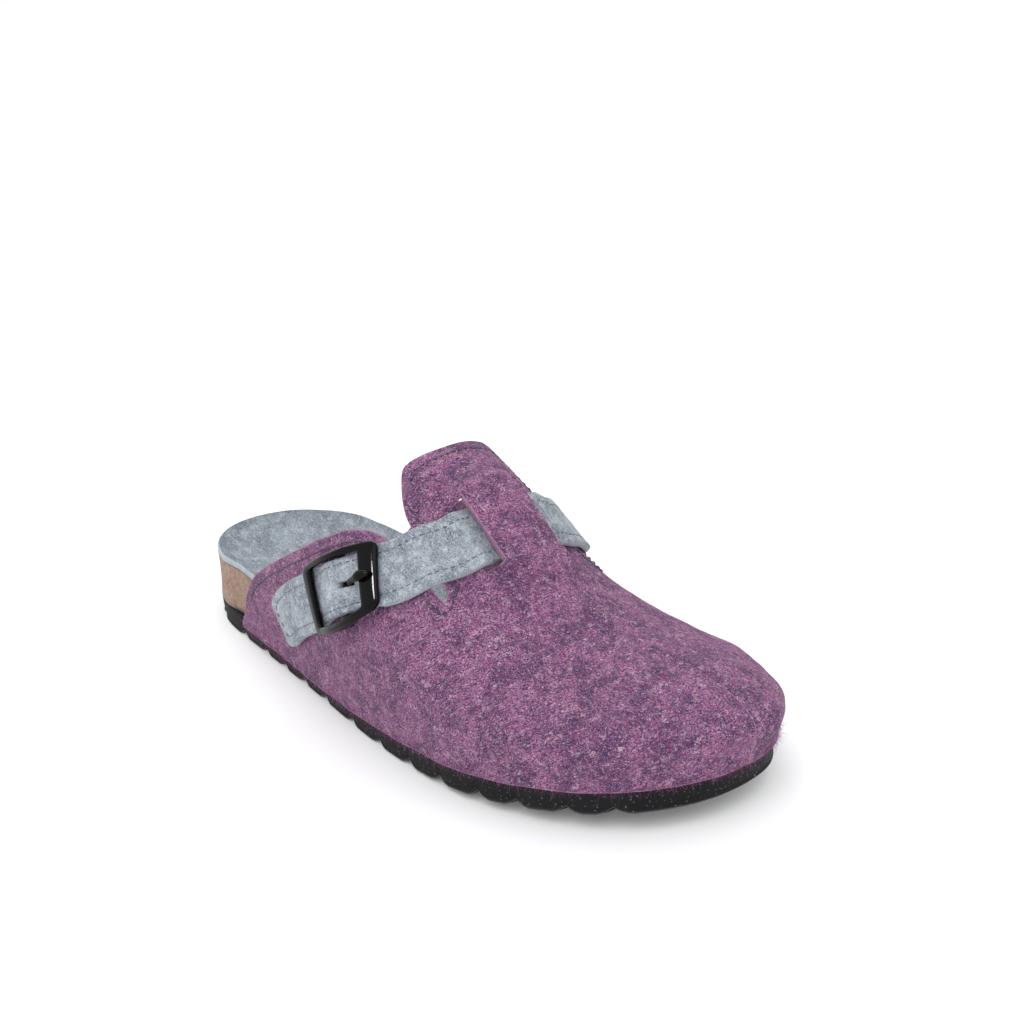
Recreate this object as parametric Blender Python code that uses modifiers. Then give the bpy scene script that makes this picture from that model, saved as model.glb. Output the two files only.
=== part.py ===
"""Clog slipper: hollow felt upper, cork footbed, felt insole, tread sole, felt strap and buckle.

Metres. The toe points to -Y, the big toe is on the +X side and +Z is up.
Every form follows the same outline and the same upper surface, so the pieces meet at named clearances.
"""
import math

import bmesh
import bpy
import numpy as np

SOLE_LENGTH = 0.258
BALL_WIDTH = 0.100
HEEL_WIDTH = 0.070
OUTSOLE_THICKNESS = 0.0085
TOE_SPRING = 0.0085
SPRING_START = 0.58
SPRING_POWER = 1.6
FELT_WALL = 0.0028
FELT_PROUD = 0.0012
UPRIGHT_HEIGHT = 0.005
CLEARANCE = 0.0003
STRAP_CLEARANCE = 0.0005
POLE_ALONG = 0.885
POLE_BLEND = 0.030

OUTLINE = {
    "along": (0.000, 0.022, 0.085, 0.180, 0.300, 0.420, 0.540, 0.660, 0.760, 0.850, 0.930, 0.982,
              1.000, 0.985, 0.935, 0.850, 0.750, 0.650, 0.540, 0.420, 0.300, 0.180, 0.085, 0.022),
    "heel_share": (0.00, -0.52, -0.88, -1.00, -0.85, -0.55, -0.25, 0.00, 0.00, 0.00, 0.00, 0.00,
                   0.00, 0.00, 0.00, 0.00, 0.00, 0.00, 0.25, 0.55, 0.85, 1.00, 0.88, 0.52),
    "ball_share": (-0.03, -0.02, 0.00, 0.00, -0.16, -0.43, -0.71, -0.915, -0.88, -0.72, -0.45, -0.06,
                   0.31, 0.65, 0.94, 1.09, 1.10, 1.03, 0.67, 0.32, 0.13, 0.03, -0.01, -0.03),
}
RIDGE = {
    "along": (0.10, 0.30, 0.42, 0.50, 0.54, 0.60, 0.65, 0.70, 0.74, 0.78, 0.82, 0.86, 0.92),
    "height": (0.135, 0.121, 0.109, 0.100, 0.0950, 0.0870, 0.0763, 0.0643, 0.0560, 0.0503, 0.0465, 0.0445,
               0.0427),
    "sideways": (0.0, 0.0, 0.0, 0.0, 0.0, 0.001, 0.002, 0.003, 0.005, 0.007, 0.009, 0.011, 0.013),
}
SECTION = {
    "along": (0.10, 0.45, 0.60, 0.72, 0.85, 1.00),
    "across_power": (2.2, 2.3, 2.2, 2.1, 2.3, 2.5),
    "upward_power": (2.2, 2.2, 2.1, 2.0, 2.2, 2.3),
    "bulge": (0.0010, 0.0025, 0.0035, 0.0035, 0.0040, 0.0045),
}

WRAP_START = 0.105
WRAP_END = 0.160
AXIS_HEEL = 0.13
AXIS_TOE = 0.84
SOLE_INSET = 0.0006
SOLE_STATIONS = 37
MERGE_DISTANCE = 0.00001
GROOVE_RADIUS = 0.0026
GROOVE_SIDES = 12
INSOLE_THICKNESS = 0.0022
FOOT_ALONG = 0.168
TONGUE_TOP = 0.524
TONGUE_CORNER = 0.020
SLIT_FRONT = 0.680
QUARTER_CELLS = 7
STRIP_CELLS = 2
PANEL_CELLS = 3
STRAP_WIDTH = 0.0208
STRAP_THICKNESS = 0.003
STRAP_CORNER = 0.0045

GROOVES_ALONG = (0.080, 0.168, 0.240, 0.300, 0.362, 0.425, 0.503, 0.575, 0.645, 0.708, 0.773, 0.825, 0.883,
                 0.929)
MEDIAL = {
    "along": (0.10, 0.45, 0.56, 0.65, 0.75, 0.85, 0.93, 1.00),
    "fullness": (1.00, 1.00, 0.81, 0.66, 0.74, 0.79, 0.72, 0.79),
}
FOOTBED = {
    "along": (0.00, 0.15, 0.30, 0.45, 0.60, 0.80, 1.00),
    "rim": (0.0215, 0.0210, 0.0190, 0.0140, 0.0105, 0.0090, 0.0110),
    "middle": (0.0085, 0.0080, 0.0085, 0.0085, 0.0070, 0.0060, 0.0062),
    "cup_power": (3.0, 3.0, 3.2, 3.5, 4.0, 4.0, 3.5),
}
QUARTER_TOP = {
    "along": (0.168, 0.183, 0.200, 0.230, 0.263, 0.311, 0.356, 0.396, 0.431, 0.464, 0.491, 0.516,
              0.539, 0.561, 0.600, 0.640, 0.680, 0.760, 0.880, 1.000),
    "rise": (0.020, 0.060, 0.120, 0.171, 0.205, 0.250, 0.297, 0.343, 0.391, 0.439, 0.485, 0.522,
             0.552, 0.566, 0.572, 0.576, 0.592, 0.585, 0.575, 0.570),
}
TONGUE_SIDE = {
    "along": (0.100, 0.524, 0.526, 0.531, 0.541, 0.559, 0.579, 0.610, 0.645, 0.665, 0.680),
    "rise": (0.810, 0.805, 0.780, 0.753, 0.723, 0.683, 0.656, 0.640, 0.630, 0.619, 0.592),
}
SLOT = {"inner": 0.849, "rear": 0.603, "front": 0.698}
SLOT_OUTER = {
    "along": (0.100, 0.603, 0.610, 0.691, 0.698, 1.000),
    "rise": (0.836, 0.836, 0.772, 0.772, 0.836, 0.836),
}
TONGUE_DIP = {"depth": 0.014, "front": 0.600, "turn": 0.235}
PANEL = {"rear": 0.580, "front": 0.720, "ramp": 0.027, "lift": 0.0036}
STRAP_COURSE = {
    "along": (0.652, 0.652, 0.649, 0.642, 0.624, 0.604, 0.570, 0.524, 0.481, 0.438, 0.378, 0.320),
    "rise": (1.000, 0.930, 0.849, 0.727, 0.627, 0.535, 0.455, 0.368, 0.308, 0.251, 0.188, 0.115),
}
STRAP_RUNS = np.concatenate([
    [0.0, 0.006, 0.011, 0.0145, 0.017, 0.0195, 0.022, 0.026, 0.031, 0.036],
    np.linspace(0.041, 0.114, 21),
])
STRAP_TAIL = 0.1255
STRAP_SEWN = 0.062
MEDIAL_SLANT = 0.21
BUCKLE = {
    "centre": 0.0689,
    "half_run": 0.0194,
    "half_across": 0.0118,
    "bar": 0.0052,
    "front_extra": 0.0016,
    "side": 0.0023,
    "corner": 0.0030,
    "thickness": 0.0022,
    "over_strap": 0.0038,
    "bow": 0.0014,
    "lug_low": 0.0005,
    "lug_reach": 0.0070,
    "bar_radius": 0.0010,
    "bar_height": 0.0016,
    "swell": 0.0036,
    "swell_reach": 0.0135,
    "pinch": 0.0014,
    "pinch_reach": 0.0190,
}
BUCKLE_SPREAD = {
    "along": (0.0, 0.5, 1.0),
    "upper": (0.90, 1.00, 0.90),
    "lower": (0.92, 1.07, 1.10),
}
HOLE = {"front": 0.0585, "rear": 0.0694, "half_width": 0.0015}
PRONG = {
    "run": (0.0019, 0.0017, 0.0008, -0.0006, -0.0040, -0.0080, -0.0122, -0.0160, -0.0175),
    "out": (0.0016, 0.0026, 0.0032, 0.0034, 0.0044, 0.0061, 0.0075, 0.0077, 0.0077),
    "half_width": (0.0010, 0.0010, 0.0010, 0.0011, 0.0011, 0.0011, 0.0011, 0.0010, 0.0005),
    "half_thickness": (0.0004, 0.0004, 0.0004, 0.0004, 0.0008, 0.0009, 0.0009, 0.0008, 0.0004),
}


def cubic_loop(points, share):
    """Closed cubic spline through the points, at shares 0 to 1 of its chord length."""
    closed = np.vstack([points, points[:1]])
    step = np.linalg.norm(np.diff(closed, axis=0), axis=1)
    knots = np.concatenate([[0.0], np.cumsum(step)])
    count = len(points)
    matrix = np.zeros((count, count))
    right = np.zeros((count, points.shape[1]))
    for i in range(count):
        before = step[i - 1]
        after = step[i]
        matrix[i, (i - 1) % count] += before
        matrix[i, i] += 2 * (before + after)
        matrix[i, (i + 1) % count] += after
        right[i] = 6 * ((closed[i + 1] - points[i]) / after - (points[i] - points[i - 1]) / before)
    bend = np.linalg.solve(matrix, right)
    bend = np.vstack([bend, bend[:1]])
    at = np.asarray(share) * knots[-1]
    k = np.clip(np.searchsorted(knots, at, side="right") - 1, 0, count - 1)
    left = (knots[k + 1] - at)[:, None]
    gone = (at - knots[k])[:, None]
    width = step[k][:, None]
    curve = (bend[k] * left**3 + bend[k + 1] * gone**3) / (6 * width)
    curve = curve + (closed[k] / width - bend[k] * width / 6) * left
    return curve + (closed[k + 1] / width - bend[k + 1] * width / 6) * gone


def smooth_table(table, column, at):
    """Monotone cubic through one column of a table."""
    xs = np.array(table["along"])
    ys = np.array(table[column])
    return monotone(xs, ys, at)


def monotone(xs, ys, at):
    """Monotone cubic through the values ys at the places xs."""
    width = np.diff(xs)
    slope = np.diff(ys) / width
    tangent = np.zeros_like(ys, dtype=float)
    for i in range(1, len(xs) - 1):
        if slope[i - 1] * slope[i] > 0:
            w1 = 2 * width[i] + width[i - 1]
            w2 = width[i] + 2 * width[i - 1]
            tangent[i] = (w1 + w2) / (w1 / slope[i - 1] + w2 / slope[i])
    tangent[0] = slope[0]
    tangent[-1] = slope[-1]
    x = np.clip(np.asarray(at, dtype=float), xs[0], xs[-1])
    k = np.clip(np.searchsorted(xs, x, side="right") - 1, 0, len(width) - 1)
    t = (x - xs[k]) / width[k]
    start = (2 * t**3 - 3 * t**2 + 1) * ys[k] + (t**3 - 2 * t**2 + t) * width[k] * tangent[k]
    end = (-2 * t**3 + 3 * t**2) * ys[k + 1] + (t**3 - t**2) * width[k] * tangent[k + 1]
    return start + end


def outline_sides():
    """Dense outline with outward normals, split at heel and toe into its two sides.

    Each side holds columns angle, x, y, normal x, normal y, where the angle is 0 at the heel and pi at the toe.
    """
    across = np.array(OUTLINE["heel_share"]) * HEEL_WIDTH / 2 + np.array(OUTLINE["ball_share"]) * BALL_WIDTH / 2
    forward = -np.array(OUTLINE["along"]) * SOLE_LENGTH
    curve = cubic_loop(np.column_stack([across, forward]), np.linspace(0, 1, 2881)[:-1])
    top = curve[:, 1].max()
    low = curve[:, 1].min()
    curve[:, 1] = (curve[:, 1] - (top + low) / 2) * SOLE_LENGTH / (top - low)
    ahead = np.roll(curve, -1, axis=0) - np.roll(curve, 1, axis=0)
    normal = np.column_stack([ahead[:, 1], -ahead[:, 0]])
    normal = normal / np.linalg.norm(normal, axis=1)[:, None]
    normal = normal * np.sign(((curve - curve.mean(axis=0)) * normal).sum())
    share = np.clip(0.5 - curve[:, 1] / SOLE_LENGTH, 0, 1)
    data = np.column_stack([np.arccos(1 - 2 * share), curve, normal])
    heel = int(np.argmin(share))
    data = np.roll(data, -heel, axis=0)
    toe = int(np.argmax(data[:, 0]))
    lateral = data[:toe + 1]
    medial = np.vstack([data[toe:], data[:1]])
    result = {}
    for side, rows in ((-1, lateral), (1, medial)):
        rows = rows[np.argsort(rows[:, 0], kind="stable")]
        rows[0, 0] = 0.0
        rows[-1, 0] = math.pi
        result[side] = rows
    return result


SIDES = outline_sides()


def edge(side, along, outward=0.0):
    """Outline point and outward normal at a share of the length, on one side."""
    rows = SIDES[side]
    angle = np.arccos(1 - 2 * np.clip(np.asarray(along, dtype=float), 0, 1))
    x, y, nx, ny = (np.interp(angle, rows[:, 0], rows[:, i]) for i in (1, 2, 3, 4))
    long = np.hypot(nx, ny)
    nx = nx / long
    ny = ny / long
    return x + nx * outward, y + ny * outward, nx, ny


def ground(along):
    """Height of the sole's underside: flat, then rising to the toe."""
    return TOE_SPRING * np.clip((along - SPRING_START) / (1 - SPRING_START), 0, 1)**SPRING_POWER


def feather(along):
    """Height of the outsole's top."""
    return ground(along) + OUTSOLE_THICKNESS


def skin(side, along, rise):
    """Outer face of the upper: rise is 0 at the sole and 1 on the ridge."""
    along, rise = np.broadcast_arrays(np.asarray(along, dtype=float), np.asarray(rise, dtype=float))
    x0, y0, nx, ny = edge(side, along, FELT_PROUD)
    spine = POLE_ALONG - POLE_BLEND * np.log1p(np.exp((POLE_ALONG - along) / POLE_BLEND))
    z0 = feather(along) + CLEARANCE
    z1 = z0 + UPRIGHT_HEIGHT
    ridge_z = smooth_table(RIDGE, "height", spine)
    ridge_x = smooth_table(RIDGE, "sideways", spine)
    ridge_y = (0.5 - spine) * SOLE_LENGTH
    foot = 0.10
    turn = np.clip((rise - foot) / (1 - foot), 0, 1) * math.pi / 2
    full = smooth_table(MEDIAL, "fullness", along) if side > 0 else 1.0
    inward = 1 - np.cos(turn)**(2 / (full * smooth_table(SECTION, "across_power", spine)))
    upward = np.sin(turn)**(2 / (full * smooth_table(SECTION, "upward_power", spine)))
    z = z0 + (z1 - z0) * np.clip(rise / foot, 0, 1) + (ridge_z - z1) * upward
    bulge = smooth_table(SECTION, "bulge", along) * np.sin(math.pi * np.clip(rise / 0.8, 0, 1))**2
    x = x0 + (ridge_x - x0) * inward + nx * bulge
    y = y0 + (ridge_y - y0) * inward + ny * bulge
    return np.stack([x, y, z], axis=-1)


def skin_at(along, turn):
    """Outer face by signed turn: -1 at the lateral sole, 0 on the ridge, 1 at the medial sole."""
    along, turn = np.broadcast_arrays(np.asarray(along, dtype=float), np.asarray(turn, dtype=float))
    rise = 1 - np.clip(np.abs(turn), 0, 1)
    return np.where((turn < 0)[..., None], skin(-1, along, rise), skin(1, along, rise))


def skin_normal(along, turn):
    """Outward unit normal of the upper's outer face, smooth across the ridge."""
    step = 0.002
    a = np.clip(np.asarray(along, dtype=float), step, 0.9985 - step)
    q = np.clip(np.asarray(turn, dtype=float), -0.97, 0.97)
    a, q = np.broadcast_arrays(a, q)
    by_along = skin_at(a + step, q) - skin_at(a - step, q)
    by_turn = skin_at(a, q + step) - skin_at(a, q - step)
    normal = np.cross(by_along, by_turn)
    return normal / np.linalg.norm(normal, axis=-1, keepdims=True)


def footbed_edge(side, along):
    """Edge of the footbed: flush with the sole at the heel, inside the felt further forward."""
    inside = FELT_PROUD - FELT_WALL - CLEARANCE
    share = np.clip((np.asarray(along, dtype=float) - WRAP_START) / (WRAP_END - WRAP_START), 0, 1)
    return edge(side, along, inside * share * share * (3 - 2 * share))


def footbed_axis(along):
    """Middle line of the footbed, with one end point for the heel and one for the toe."""
    held = np.clip(along, AXIS_HEEL, AXIS_TOE)
    left = edge(-1, held)[0]
    right = edge(1, held)[0]
    return (left + right) / 2, (0.5 - held) * SOLE_LENGTH


def footbed_top(side, along, reach):
    """Top of the insole: reach is 0 on the middle line and 1 at the edge, with a raised rim."""
    ex, ey = footbed_edge(side, along)[:2]
    ax, ay = footbed_axis(along)
    x = ax + (ex - ax) * reach
    y = ay + (ey - ay) * reach
    place = np.clip(0.5 - y / SOLE_LENGTH, 0, 1)
    middle = smooth_table(FOOTBED, "middle", place)
    rim = smooth_table(FOOTBED, "rim", along)
    lift = np.clip(reach, 0, 1)**smooth_table(FOOTBED, "cup_power", along)
    return np.stack([x, y, feather(place) + middle + (rim - middle) * lift], axis=-1)


def plan_grid(side, stations, reaches, height, outward):
    """Flat grid of the sole's plan at a height given as a function of the share of the length."""
    along = stations[:, None]
    ex, ey = edge(side, along, outward)[:2]
    ax, ay = footbed_axis(along)
    x = ax + (ex - ax) * reaches
    y = ay + (ey - ay) * reaches
    return np.stack([x, y, height(np.clip(0.5 - y / SOLE_LENGTH, 0, 1))], axis=-1)


def make_object(name, vertices, faces, smooth=True):
    """Mesh object from vertices and faces, merged and facing outward."""
    mesh = bpy.data.meshes.new(name)
    work = bmesh.new()
    made = [work.verts.new(tuple(map(float, point))) for point in vertices]
    work.verts.ensure_lookup_table()
    for face in faces:
        if len(set(face)) > 2:
            work.faces.new([made[i] for i in face])
    bmesh.ops.remove_doubles(work, verts=work.verts, dist=MERGE_DISTANCE)
    bmesh.ops.dissolve_degenerate(work, edges=work.edges, dist=MERGE_DISTANCE / 10)
    bmesh.ops.recalc_face_normals(work, faces=work.faces)
    work.to_mesh(mesh)
    work.free()
    for polygon in mesh.polygons:
        polygon.use_smooth = smooth
    part = bpy.data.objects.new(name, mesh)
    PARTS.objects.link(part)
    return part


def grid_faces(rows, columns, start, keep=None):
    """Quads of a grid of points, leaving out those where keep is false."""
    faces = []
    for i in range(rows - 1):
        for j in range(columns - 1):
            if keep is None or keep[i, j]:
                corner = start + i * columns + j
                faces.append((corner, corner + 1, corner + columns + 1, corner + columns))
    return faces


def two_sided(name, build_side):
    """Closed body from one grid per side: both start and end on the shared middle line."""
    vertices = []
    faces = []
    for side in (-1, 1):
        grid = build_side(side)
        faces += grid_faces(grid.shape[0], grid.shape[1], len(vertices))
        vertices += list(grid.reshape(-1, 3))
    return make_object(name, vertices, faces)


def apply_modifier(part, modifier):
    """Bake one modifier into the part's mesh."""
    with bpy.context.temp_override(object=part, active_object=part, selected_objects=[part]):
        bpy.ops.object.modifier_apply(modifier=modifier.name)


def boolean(part, other, operation):
    """Exact Boolean with another object, which moves to the cutters."""
    modifier = part.modifiers.new(other.name, "BOOLEAN")
    modifier.solver = "EXACT"
    modifier.operation = operation
    modifier.object = other
    apply_modifier(part, modifier)
    PARTS.objects.unlink(other)
    CUTTERS.objects.link(other)
    other.hide_render = True
    other.display_type = "WIRE"


def outsole():
    """Tread sole: the outline in full thickness, with round grooves across its underside."""
    stations = 0.5 - 0.5 * np.cos(np.linspace(0, math.pi, SOLE_STATIONS))

    def build_side(side):
        top = plan_grid(side, stations, np.array([0.0, 0.6, 1.0]), feather, 0.0)
        low = plan_grid(side, stations, np.array([1.0, 0.6, 0.0]), ground, -SOLE_INSET)
        return np.concatenate([top, low], axis=1)

    part = two_sided("outsole", build_side)
    vertices = []
    faces = []
    turn = np.linspace(0, 2 * math.pi, GROOVE_SIDES + 1)[:-1]
    for along in GROOVES_ALONG:
        start = len(vertices)
        y = (0.5 - along) * SOLE_LENGTH
        for x in (-BALL_WIDTH, BALL_WIDTH):
            for angle in turn:
                across = y + GROOVE_RADIUS * math.cos(angle)
                vertices.append((x, across, float(ground(along)) + GROOVE_RADIUS * math.sin(angle)))
        for k in range(GROOVE_SIDES):
            n = (k + 1) % GROOVE_SIDES
            faces.append((start + k, start + n, start + GROOVE_SIDES + n, start + GROOVE_SIDES + k))
        faces.append(tuple(start + k for k in range(GROOVE_SIDES)))
        faces.append(tuple(start + GROOVE_SIDES + k for k in range(GROOVE_SIDES)))
    boolean(part, make_object("outsole_grooves", vertices, faces), "DIFFERENCE")
    return part


def insole():
    """Felt cover of the footbed, dished to the footbed's own surface."""
    stations = 0.5 - 0.5 * np.cos(np.linspace(0, math.pi, SOLE_STATIONS))
    reach = np.array([0.0, 0.35, 0.62, 0.82, 0.93, 1.0])

    def build_side(side):
        top = footbed_top(side, stations[:, None], reach)
        low = top[:, ::-1] - np.array([0.0, 0.0, INSOLE_THICKNESS])
        return np.concatenate([top, low], axis=1)

    return two_sided("insole", build_side)


def midsole():
    """Cork footbed: dished under the insole, flat on the outsole."""
    stations = 0.5 - 0.5 * np.cos(np.linspace(0, math.pi, SOLE_STATIONS))
    reach = np.array([0.0, 0.35, 0.62, 0.82, 0.93, 1.0])

    def build_side(side):
        top = footbed_top(side, stations[:, None], reach)
        top = top - np.array([0.0, 0.0, INSOLE_THICKNESS + CLEARANCE])
        along = stations[:, None]
        ex, ey = footbed_edge(side, along)[:2]
        ax, ay = footbed_axis(along)
        share = np.array([1.0, 0.6, 0.0])
        x = ax + (ex - ax) * share
        y = ay + (ey - ay) * share
        low = np.stack([x, y, feather(np.clip(0.5 - y / SOLE_LENGTH, 0, 1)) + CLEARANCE], axis=-1)
        return np.concatenate([top, low], axis=1)

    return two_sided("midsole", build_side)


def panel_lift(along):
    """How far the tongue's middle panel stands out where the strap runs under it."""
    rear = np.clip((along - PANEL["rear"]) / PANEL["ramp"], 0, 1)
    front = np.clip((PANEL["front"] - along) / PANEL["ramp"], 0, 1)
    share = np.minimum(rear, front)
    return PANEL["lift"] * share * share * (3 - 2 * share)


def tongue_dip(along, rise):
    """Shift that dips the middle of the tongue's top edge toward the toe."""
    near = np.clip((TONGUE_DIP["front"] - along) / (TONGUE_DIP["front"] - TONGUE_TOP), 0, 1)
    middle = np.clip(1 - ((1 - rise) / TONGUE_DIP["turn"])**2, 0, 1)
    return TONGUE_DIP["depth"] * near * middle


def upper():
    """Felt upper: one hollow wall with tongue, quarters, open slits and strap slots."""
    behind = np.linspace(FOOT_ALONG, TONGUE_TOP, 13)
    corner = TONGUE_TOP + TONGUE_CORNER * np.array([0.10, 0.35, 0.85])
    stops = (corner[-1], *SLOT_OUTER["along"][1:3], SLIT_FRONT, *SLOT_OUTER["along"][3:5], 0.80)
    pieces = (4, 1, 5, 1, 1, 6)
    middle = np.concatenate([np.linspace(stops[i], stops[i + 1], pieces[i] + 1)[1:] for i in range(6)])
    toe = 0.5 - 0.5 * np.cos(np.linspace(math.acos(1 - 2 * 0.80), math.pi, 13))[1:]
    stations = np.concatenate([behind, corner, middle, toe])
    vertices = []
    faces = []
    for side in (-1, 1):
        quarter = smooth_table(QUARTER_TOP, "rise", stations)
        tongue = smooth_table(TONGUE_SIDE, "rise", stations)
        joined = stations >= SLIT_FRONT - 1e-9
        tongue = np.where(joined, quarter, tongue)
        band = quarter[:, None] * np.linspace(0, 1, QUARTER_CELLS + 1)
        outer = monotone(np.array(SLOT_OUTER["along"]), np.array(SLOT_OUTER["rise"]), stations)[:, None]
        strip = tongue[:, None] + (outer - tongue[:, None]) * np.linspace(0, 1, STRIP_CELLS + 1)
        panel = SLOT["inner"] + (1 - SLOT["inner"]) * np.linspace(0, 1, PANEL_CELLS + 1)
        panel = np.broadcast_to(panel, (len(stations), PANEL_CELLS + 1))
        rise = np.concatenate([band, strip, panel], axis=1)
        place = stations[:, None] + tongue_dip(stations[:, None], rise)
        points = skin_at(place, side * (1 - rise))
        raised = np.zeros_like(rise)
        raised[:, QUARTER_CELLS + STRIP_CELLS + 2:] = panel_lift(stations)[:, None]
        points = points + skin_normal(place, side * (1 - rise)) * raised[..., None]
        keep = np.ones((len(stations) - 1, rise.shape[1] - 1), dtype=bool)
        centre = (stations[:-1] + stations[1:]) / 2
        keep[centre < TONGUE_TOP, QUARTER_CELLS:] = False
        keep[centre < SLIT_FRONT, QUARTER_CELLS] = False
        slot_column = QUARTER_CELLS + 1 + STRIP_CELLS
        in_slot = (centre > SLOT["rear"]) & (centre < SLOT["front"])
        keep[in_slot, slot_column] = False
        faces += grid_faces(len(stations), rise.shape[1], len(vertices), keep)
        vertices += list(points.reshape(-1, 3))
    part = make_object("upper", vertices, faces)
    work = bmesh.new()
    work.from_mesh(part.data)
    loose = [vert for vert in work.verts if not vert.link_faces]
    bmesh.ops.delete(work, geom=loose, context="VERTS")
    work.faces.ensure_lookup_table()
    out = sum(face.normal.x * face.calc_center_median().x for face in work.faces)
    if out < 0:
        bmesh.ops.reverse_faces(work, faces=work.faces)
    work.to_mesh(part.data)
    work.free()
    wall = part.modifiers.new("wall", "SOLIDIFY")
    wall.thickness = FELT_WALL
    wall.offset = -1.0
    wall.use_even_offset = False
    apply_modifier(part, wall)
    return part


def strap_course():
    """Dense table of the strap's middle line over the upper: arc length, share of length, turn."""
    along = np.array(STRAP_COURSE["along"])
    turn = 1 - np.array(STRAP_COURSE["rise"])
    knots = np.linspace(0, 1, len(along))
    fine = np.linspace(0, 1, 400)
    a = monotone(knots, along, fine)
    q = monotone(knots, turn, fine)
    points = skin(-1, a, 1 - q)
    length = np.concatenate([[0.0], np.cumsum(np.linalg.norm(np.diff(points, axis=0), axis=1))])
    return length, a, q


COURSE = strap_course()


def on_strap(side, run, across, out):
    """Point over the upper in the strap's own directions, on one side of the ridge.

    Run is the length from the ridge, across is positive to the upper edge, out is above the upper.
    """
    run, across, out = np.broadcast_arrays(run, across, out)
    run = np.asarray(run, dtype=float)
    a = np.interp(run, COURSE[0], COURSE[1])
    q = np.interp(run, COURSE[0], COURSE[2]) * side
    h = 0.002
    by_along = (skin_at(a + h, q) - skin_at(a - h, q)) / (2 * h)
    by_turn = (skin_at(a, q + h) - skin_at(a, q - h)) / (2 * h)
    step = 0.001
    da = np.interp(run + step, COURSE[0], COURSE[1]) - np.interp(run - step, COURSE[0], COURSE[1])
    dq = np.interp(run + step, COURSE[0], COURSE[2]) - np.interp(run - step, COURSE[0], COURSE[2])
    forward = by_along * da[..., None] + by_turn * dq[..., None] * side
    normal = skin_normal(a, q)
    sideways = np.cross(normal, forward) * side
    sideways = sideways / np.linalg.norm(sideways, axis=-1, keepdims=True)
    aa = (by_along**2).sum(-1)
    tt = (by_turn**2).sum(-1)
    at = (by_along * by_turn).sum(-1)
    va = (by_along * sideways).sum(-1)
    vt = (by_turn * sideways).sum(-1)
    det = aa * tt - at * at
    place_a = a + (va * tt - vt * at) / det * across
    place_q = q + (vt * aa - va * at) / det * across
    return skin_at(place_a, place_q) + skin_normal(place_a, place_q) * out[..., None]


def run_at_rise(rise):
    """Length along the strap's middle line where it passes a given rise."""
    return float(np.interp(1 - rise, COURSE[2], COURSE[0]))


def strap_height(side, run):
    """Height of the strap's underside over the upper, along its course."""
    hidden = -STRAP_THICKNESS + PANEL["lift"] - FELT_WALL - 4 * CLEARANCE
    inner = run_at_rise(SLOT["inner"])
    outer = run_at_rise(min(SLOT_OUTER["rise"]))
    share = np.clip((run - inner) / (outer - inner), 0, 1)
    height = hidden + (STRAP_CLEARANCE - hidden) * share * share * (3 - 2 * share)
    if side < 0:
        away = np.clip(np.abs(run - BUCKLE["centre"]) / BUCKLE["swell_reach"], 0, 1)
        height = height + BUCKLE["swell"] * np.cos(away * math.pi / 2)**2
    return height


def strap_half_width(run, end):
    """Half width of the strap: pinched inside the buckle, with rounded corners at its free end."""
    left = np.clip((end - run) / STRAP_CORNER, 0, 1)
    away = np.clip(np.abs(run - BUCKLE["centre"]) / BUCKLE["pinch_reach"], 0, 1)
    pinch = BUCKLE["pinch"] * (1 - away**4)
    return STRAP_WIDTH / 2 - pinch - STRAP_CORNER * (1 - np.sqrt(np.clip(1 - (1 - left)**2, 0, 1)))


def strap():
    """Felt strap: from its sewn inner end, under the tongue's panel, through the buckle to its free tail."""
    runs = {
        -1: np.concatenate([STRAP_RUNS, STRAP_TAIL - STRAP_CORNER * np.array([1.0, 0.6, 0.25, 0.06, 0.0])]),
        1: np.concatenate([STRAP_RUNS[STRAP_RUNS < STRAP_SEWN - 0.002], [STRAP_SEWN]]),
    }
    share = np.array([1.0, 0.5, 0.0, -0.5, -1.0])
    sections = []
    for side in (-1, 1):
        rows = []
        for run in runs[side]:
            half = STRAP_WIDTH / 2 if side > 0 else float(strap_half_width(run, STRAP_TAIL))
            slant = MEDIAL_SLANT * half if side > 0 else 0.0
            low = strap_height(side, run + slant * share)
            bottom = on_strap(side, run, share * half, low)
            top = on_strap(side, run, share[::-1] * half, low[::-1] + STRAP_THICKNESS)
            rows.append(np.concatenate([bottom, top]))
        sections.append(rows)
    medial = sections[1][::-1][:-1]
    loops = np.array(medial + sections[0])
    count, size = loops.shape[:2]
    vertices = list(loops.reshape(-1, 3))
    faces = []
    for i in range(count - 1):
        for j in range(size):
            n = (j + 1) % size
            faces.append((i * size + j, i * size + n, (i + 1) * size + n, (i + 1) * size + j))
    for base in (0, (count - 1) * size):
        for j in range(4):
            faces.append((base + j, base + j + 1, base + 8 - j, base + 9 - j))
    part = make_object("strap", vertices, faces)
    slot = box_on_strap("strap_hole", HOLE["front"], HOLE["rear"], HOLE["half_width"], -0.002, 0.012)
    boolean(part, slot, "DIFFERENCE")
    return part


def box_on_strap(name, run0, run1, half, low, high):
    """Block in the strap's directions, used to cut the prong's hole."""
    corners = []
    for run in (run0, run1):
        for across, out in ((-half, low), (half, low), (half, high), (-half, high)):
            corners.append(on_strap(-1, run, across, out))
    faces = [(0, 1, 2, 3), (7, 6, 5, 4), (0, 4, 5, 1), (1, 5, 6, 2), (2, 6, 7, 3), (3, 7, 4, 0)]
    return make_object(name, corners, faces, smooth=False)


def rounded_ring(half_run, half_across, corner, count):
    """Rounded rectangle in run and across, with the same count of points at each corner."""
    angles = np.linspace(0, math.pi / 2, count)
    points = []
    for k, (sx, sy) in enumerate(((1, 1), (-1, 1), (-1, -1), (1, -1))):
        for angle in angles + k * math.pi / 2:
            cx = sx * (half_run - corner)
            cy = sy * (half_across - corner)
            points.append((cx + corner * math.cos(angle), cy + corner * math.sin(angle)))
    return np.array(points)


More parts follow.
